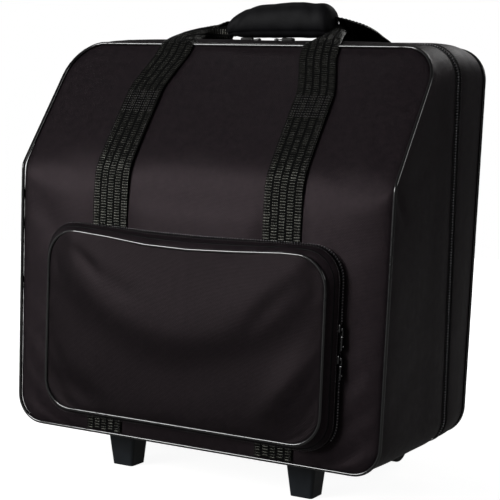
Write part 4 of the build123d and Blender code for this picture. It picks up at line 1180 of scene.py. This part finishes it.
def grip_half(name, body, nodes, keep_front):
    """One half of the padded wrap, up to the plane where the halves close on each other."""
    x, height, ends = grip_rows()
    deep = GRIP_DEEP * (0.5 + 0.5 * height / GRIP_DEEP)
    split = GRIP_SPLIT if keep_front else GRIP_SPLIT + 0.7
    open_turn = np.arccos(np.clip(split / (deep / 2 * ends), -1, 0.97))[:, None]
    share = np.linspace(0, 1, 46 if keep_front else 22)[None, :]
    if keep_front:
        turn = open_turn + share * (2 * math.pi - 2 * open_turn)
        from_edge = np.minimum(turn - turn[:, :1], turn[:, -1:] - turn) * 20
    else:
        turn = open_turn * (1 - 2 * share)
        from_edge = np.minimum(share, 1 - share) * 40
    gx = np.broadcast_to(x[:, None], turn.shape)
    out, rise = np.cos(turn), np.sin(turn)
    squared = 1 + 0.55 * ((np.abs(out) ** 3 + np.abs(rise) ** 3) ** (-1 / 3) - 1)
    y = GRIP_Y + out * squared * (deep / 2 * ends)[:, None]
    z = (GRIP_LOW + height / 2)[:, None] + rise * squared * (height / 2 * ends)[:, None]
    grid = np.stack([gx, y, z], -1)
    outward = grid_normals(grid, False, (0, GRIP_Y, GRIP_LOW + 20))
    lift = 0.9 * bumps(grid, 34.0, 91) + 0.5 * bumps(grid * np.array([1.0, 0.5, 0.5]), 12.0, 92)
    lift = lift - 1.2 * np.exp(-from_edge / 3.5)
    if keep_front:
        # a seam low on the front with its swell, and a slanting pinch at each end
        lift -= 1.3 * hump(turn - 3.86, 0.07)
        lift += 0.8 * hump(turn - 4.15, 0.2)
        lift -= 1.6 * hump(gx + 58 - 0.6 * (z - GRIP_MID_Z), 4)
        lift -= 0.9 * hump(gx - 62 + 0.3 * (z - GRIP_MID_Z), 5)
    lift = lift * smooth_step(ends * 1.6 - 0.6)[:, None]
    grid = grid + outward * lift[..., None]
    hold = np.minimum if keep_front else np.maximum
    grid[..., 1] = hold(grid[..., 1], GRIP_Y + split)
    rows, columns = grid.shape[:2]
    faces = grid_faces(rows, columns)
    ids = np.arange(rows * columns).reshape(rows, columns)
    faces += [[int(ids[r, 0]), int(ids[r, -1]), int(ids[r + 1, -1]), int(ids[r + 1, 0])]
              for r in range(rows - 1)]
    faces += [[int(i) for i in ids[0][::-1]], [int(i) for i in ids[-1]]]
    uv = np.stack([gx, turn * GRIP_DEEP / 2], -1).reshape(-1, 2)
    made = piece(name, grid.reshape(-1, 3), faces, GRIP_CLOTH, body, nodes, uv, 1)


# ---- hard parts -----------------------------------------------------------------------------
def dress_cad_nodes():
    """Finishes of the parts whose CAD shape is shown."""
    finishes = {
        FOOT: ["foot_left", "foot_right"],
        CARRIAGE: ["wheel_base", "handle_bezel", "handle_grip", "tube_collars", "wheel_hub_left",
                   "wheel_hub_right"],
        BUTTON: ["release_button"],
        ANODISED: ["outer_tubes", "middle_tubes", "inner_tubes"],
        STEEL: ["axle_left", "axle_right", "foot_screws", "back_screws"],
        BUSH: ["wheel_bush_left", "wheel_bush_right"],
        TYRE: ["tyre_left", "tyre_right"],
        LINER: ["base_board", "back_board"],
        ZINC: ["main_slider_left", "main_slider_right", "main_pull_left", "main_pull_right",
               "pocket_slider_upper", "pocket_slider_lower", "pocket_pull_upper",
               "pocket_pull_lower"],
    }
    for finish, names in finishes.items():
        for name in names:
            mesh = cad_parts[name].data
            mesh.materials.clear()
            mesh.materials.append(finish)


# ---- studio ---------------------------------------------------------------------------------
FLOOR_SHADE = "#6f6f6d"     # what the floor throws back on the bag
FLOOR_SEEN = "#fbfbf9"      # what the camera sees of it
FLOOR_GLOW = 1.42
GLOSS_SHARE = 0.07          # how much of the glow shows in reflections
NEAR_SHARE = 0.66           # how much of it shows under the bag, where the floor takes a shadow
ROOM_TOWARDS = (-0.56, -0.73, -0.3)
ROOM_DARK, ROOM_BRIGHT = 0.07, 0.3
# Lamps: name, place, width and power.
LAMPS = [("key", (-1.05, -1.95, 0.98), 0.9, 38), ("fill", (2.4, 0.4, 1.6), 1.0, 8),
         ("top", (-0.95, 0.6, 2.1), 0.28, 1.4), ("rear", (0.3, 2.1, 1.7), 0.9, 6)]
LIT_SPOT = (0, 0, 0.3)


def pale_floor():
    """Pale surface that is white to the camera and in gloss, and still takes a soft shadow."""
    made = bpy.data.materials.new("pale_floor")
    made.use_nodes = True
    tree = made.node_tree
    tree.nodes.remove(tree.nodes["Principled BSDF"])
    ray = add(tree, "ShaderNodeLightPath").outputs
    tone = add(tree, "ShaderNodeMix", {"Factor": ray["Is Camera Ray"], 6: colour(FLOOR_SHADE),
                                       7: colour(FLOOR_SEEN)}, data_type="RGBA").outputs[2]
    matt = add(tree, "ShaderNodeBsdfDiffuse", {"Color": tone}).outputs[0]
    glow = add(tree, "ShaderNodeEmission", {"Strength": FLOOR_GLOW}).outputs[0]
    gloss = combine(tree, "MULTIPLY", ray["Is Glossy Ray"], GLOSS_SHARE)
    seen = combine(tree, "MAXIMUM", ray["Is Camera Ray"], gloss)
    seen = combine(tree, "MAXIMUM", seen, ray["Is Transmission Ray"])
    away = add(tree, "ShaderNodeVectorMath", {0: object_coordinates(tree)}, operation="LENGTH")
    white = add(tree, "ShaderNodeMapRange", {"Value": away.outputs["Value"], "From Min": 0.3,
                                             "From Max": 0.75, "To Min": NEAR_SHARE, "To Max": 1.0},
                interpolation_type="SMOOTHSTEP").outputs["Result"]
    amount = combine(tree, "MULTIPLY", seen, white)
    mixed = add(tree, "ShaderNodeMixShader", {0: amount, 1: matt, 2: glow}).outputs[0]
    tree.links.new(mixed, tree.nodes["Material Output"].inputs["Surface"])
    return made


def soft_room():
    """World light: white behind the object, and a dim room, brighter towards the key lamp."""
    world = bpy.data.worlds.new("soft room")
    bpy.context.scene.world = world
    world.use_nodes = True
    tree = world.node_tree
    back = tree.nodes["Background"]
    way = add(tree, "ShaderNodeTexCoord").outputs["Generated"]
    towards = add(tree, "ShaderNodeVectorMath", {0: way, 1: ROOM_TOWARDS}, operation="DOT_PRODUCT")
    room = add(tree, "ShaderNodeMapRange", {"Value": towards.outputs["Value"], "From Min": 0.1,
                                            "To Min": ROOM_DARK,
                                            "To Max": ROOM_BRIGHT}).outputs["Result"]
    ray = add(tree, "ShaderNodeLightPath").outputs["Is Camera Ray"]
    strength = add(tree, "ShaderNodeMix", {"Factor": ray, 2: room, 3: 1.0}, data_type="FLOAT")
    tree.links.new(strength.outputs[0], back.inputs["Strength"])
    back.inputs["Color"].default_value = (1, 1, 1, 1)


def studio():
    """Round pale floor, world light and four soft lamps."""
    mesh = bpy.data.meshes.new("floor")
    reach, sides = 3.0, 48
    turns = np.linspace(0, 2 * math.pi, sides + 1)[:-1]
    mesh.from_pydata([(reach * math.cos(t), reach * math.sin(t), 0) for t in turns], [],
                     [list(range(sides))])
    mesh.materials.append(pale_floor())
    new_object("floor", mesh)
    soft_room()
    for name, spot, width, power in LAMPS:
        light = bpy.data.lights.new(name, "AREA")
        light.shape = "SQUARE"
        light.size = width
        light.energy = power
        lamp = new_object(name, light)
        lamp.location = spot
        lamp.rotation_euler = (Vector(LIT_SPOT) - Vector(spot)).to_track_quat("-Z", "Y").to_euler()


# Camera fitted to the edges of the bag in the photograph.
EYE = (0.8585, -1.5907, 0.4650)
AHEAD = (-0.4730, 0.8756, -0.0983)
RIGHT = (0.8774, 0.4783, 0.0377)
FOCAL_PIXELS, FRAME_PIXELS = 1400.0, 500.0
SENSOR = 36.0


def camera():
    """Camera at the photograph's place, a little to the right and above, rolled slightly."""
    data = bpy.data.cameras.new("camera")
    data.sensor_width = SENSOR
    data.lens = FOCAL_PIXELS / FRAME_PIXELS * SENSOR
    eye = new_object("camera", data)
    ahead = Vector(AHEAD).normalized()
    right = Vector(RIGHT)
    right = (right - ahead * right.dot(ahead)).normalized()
    up = right.cross(ahead)
    turn = Matrix((right, up, -ahead)).transposed().to_4x4()
    eye.matrix_world = Matrix.Translation(EYE) @ turn
    bpy.context.scene.camera = eye
    bpy.context.scene.view_settings.view_transform = "Standard"


front_panel()
shell_gusset()
lid_walls()
linings()
welts()
main_zipper()
pull_sleeves()
hinge_cloth()
pocket_zipper()
pocket_sides()
pocket_face()
pocket_trim()
straps()
strap_stitches()
grip_half("grip_padding", "front_shell", ["grip_wrap"], True)
grip_half("grip_flap_padding", "lid", ["grip_closing_flap"], False)
dress_cad_nodes()
studio()
camera()
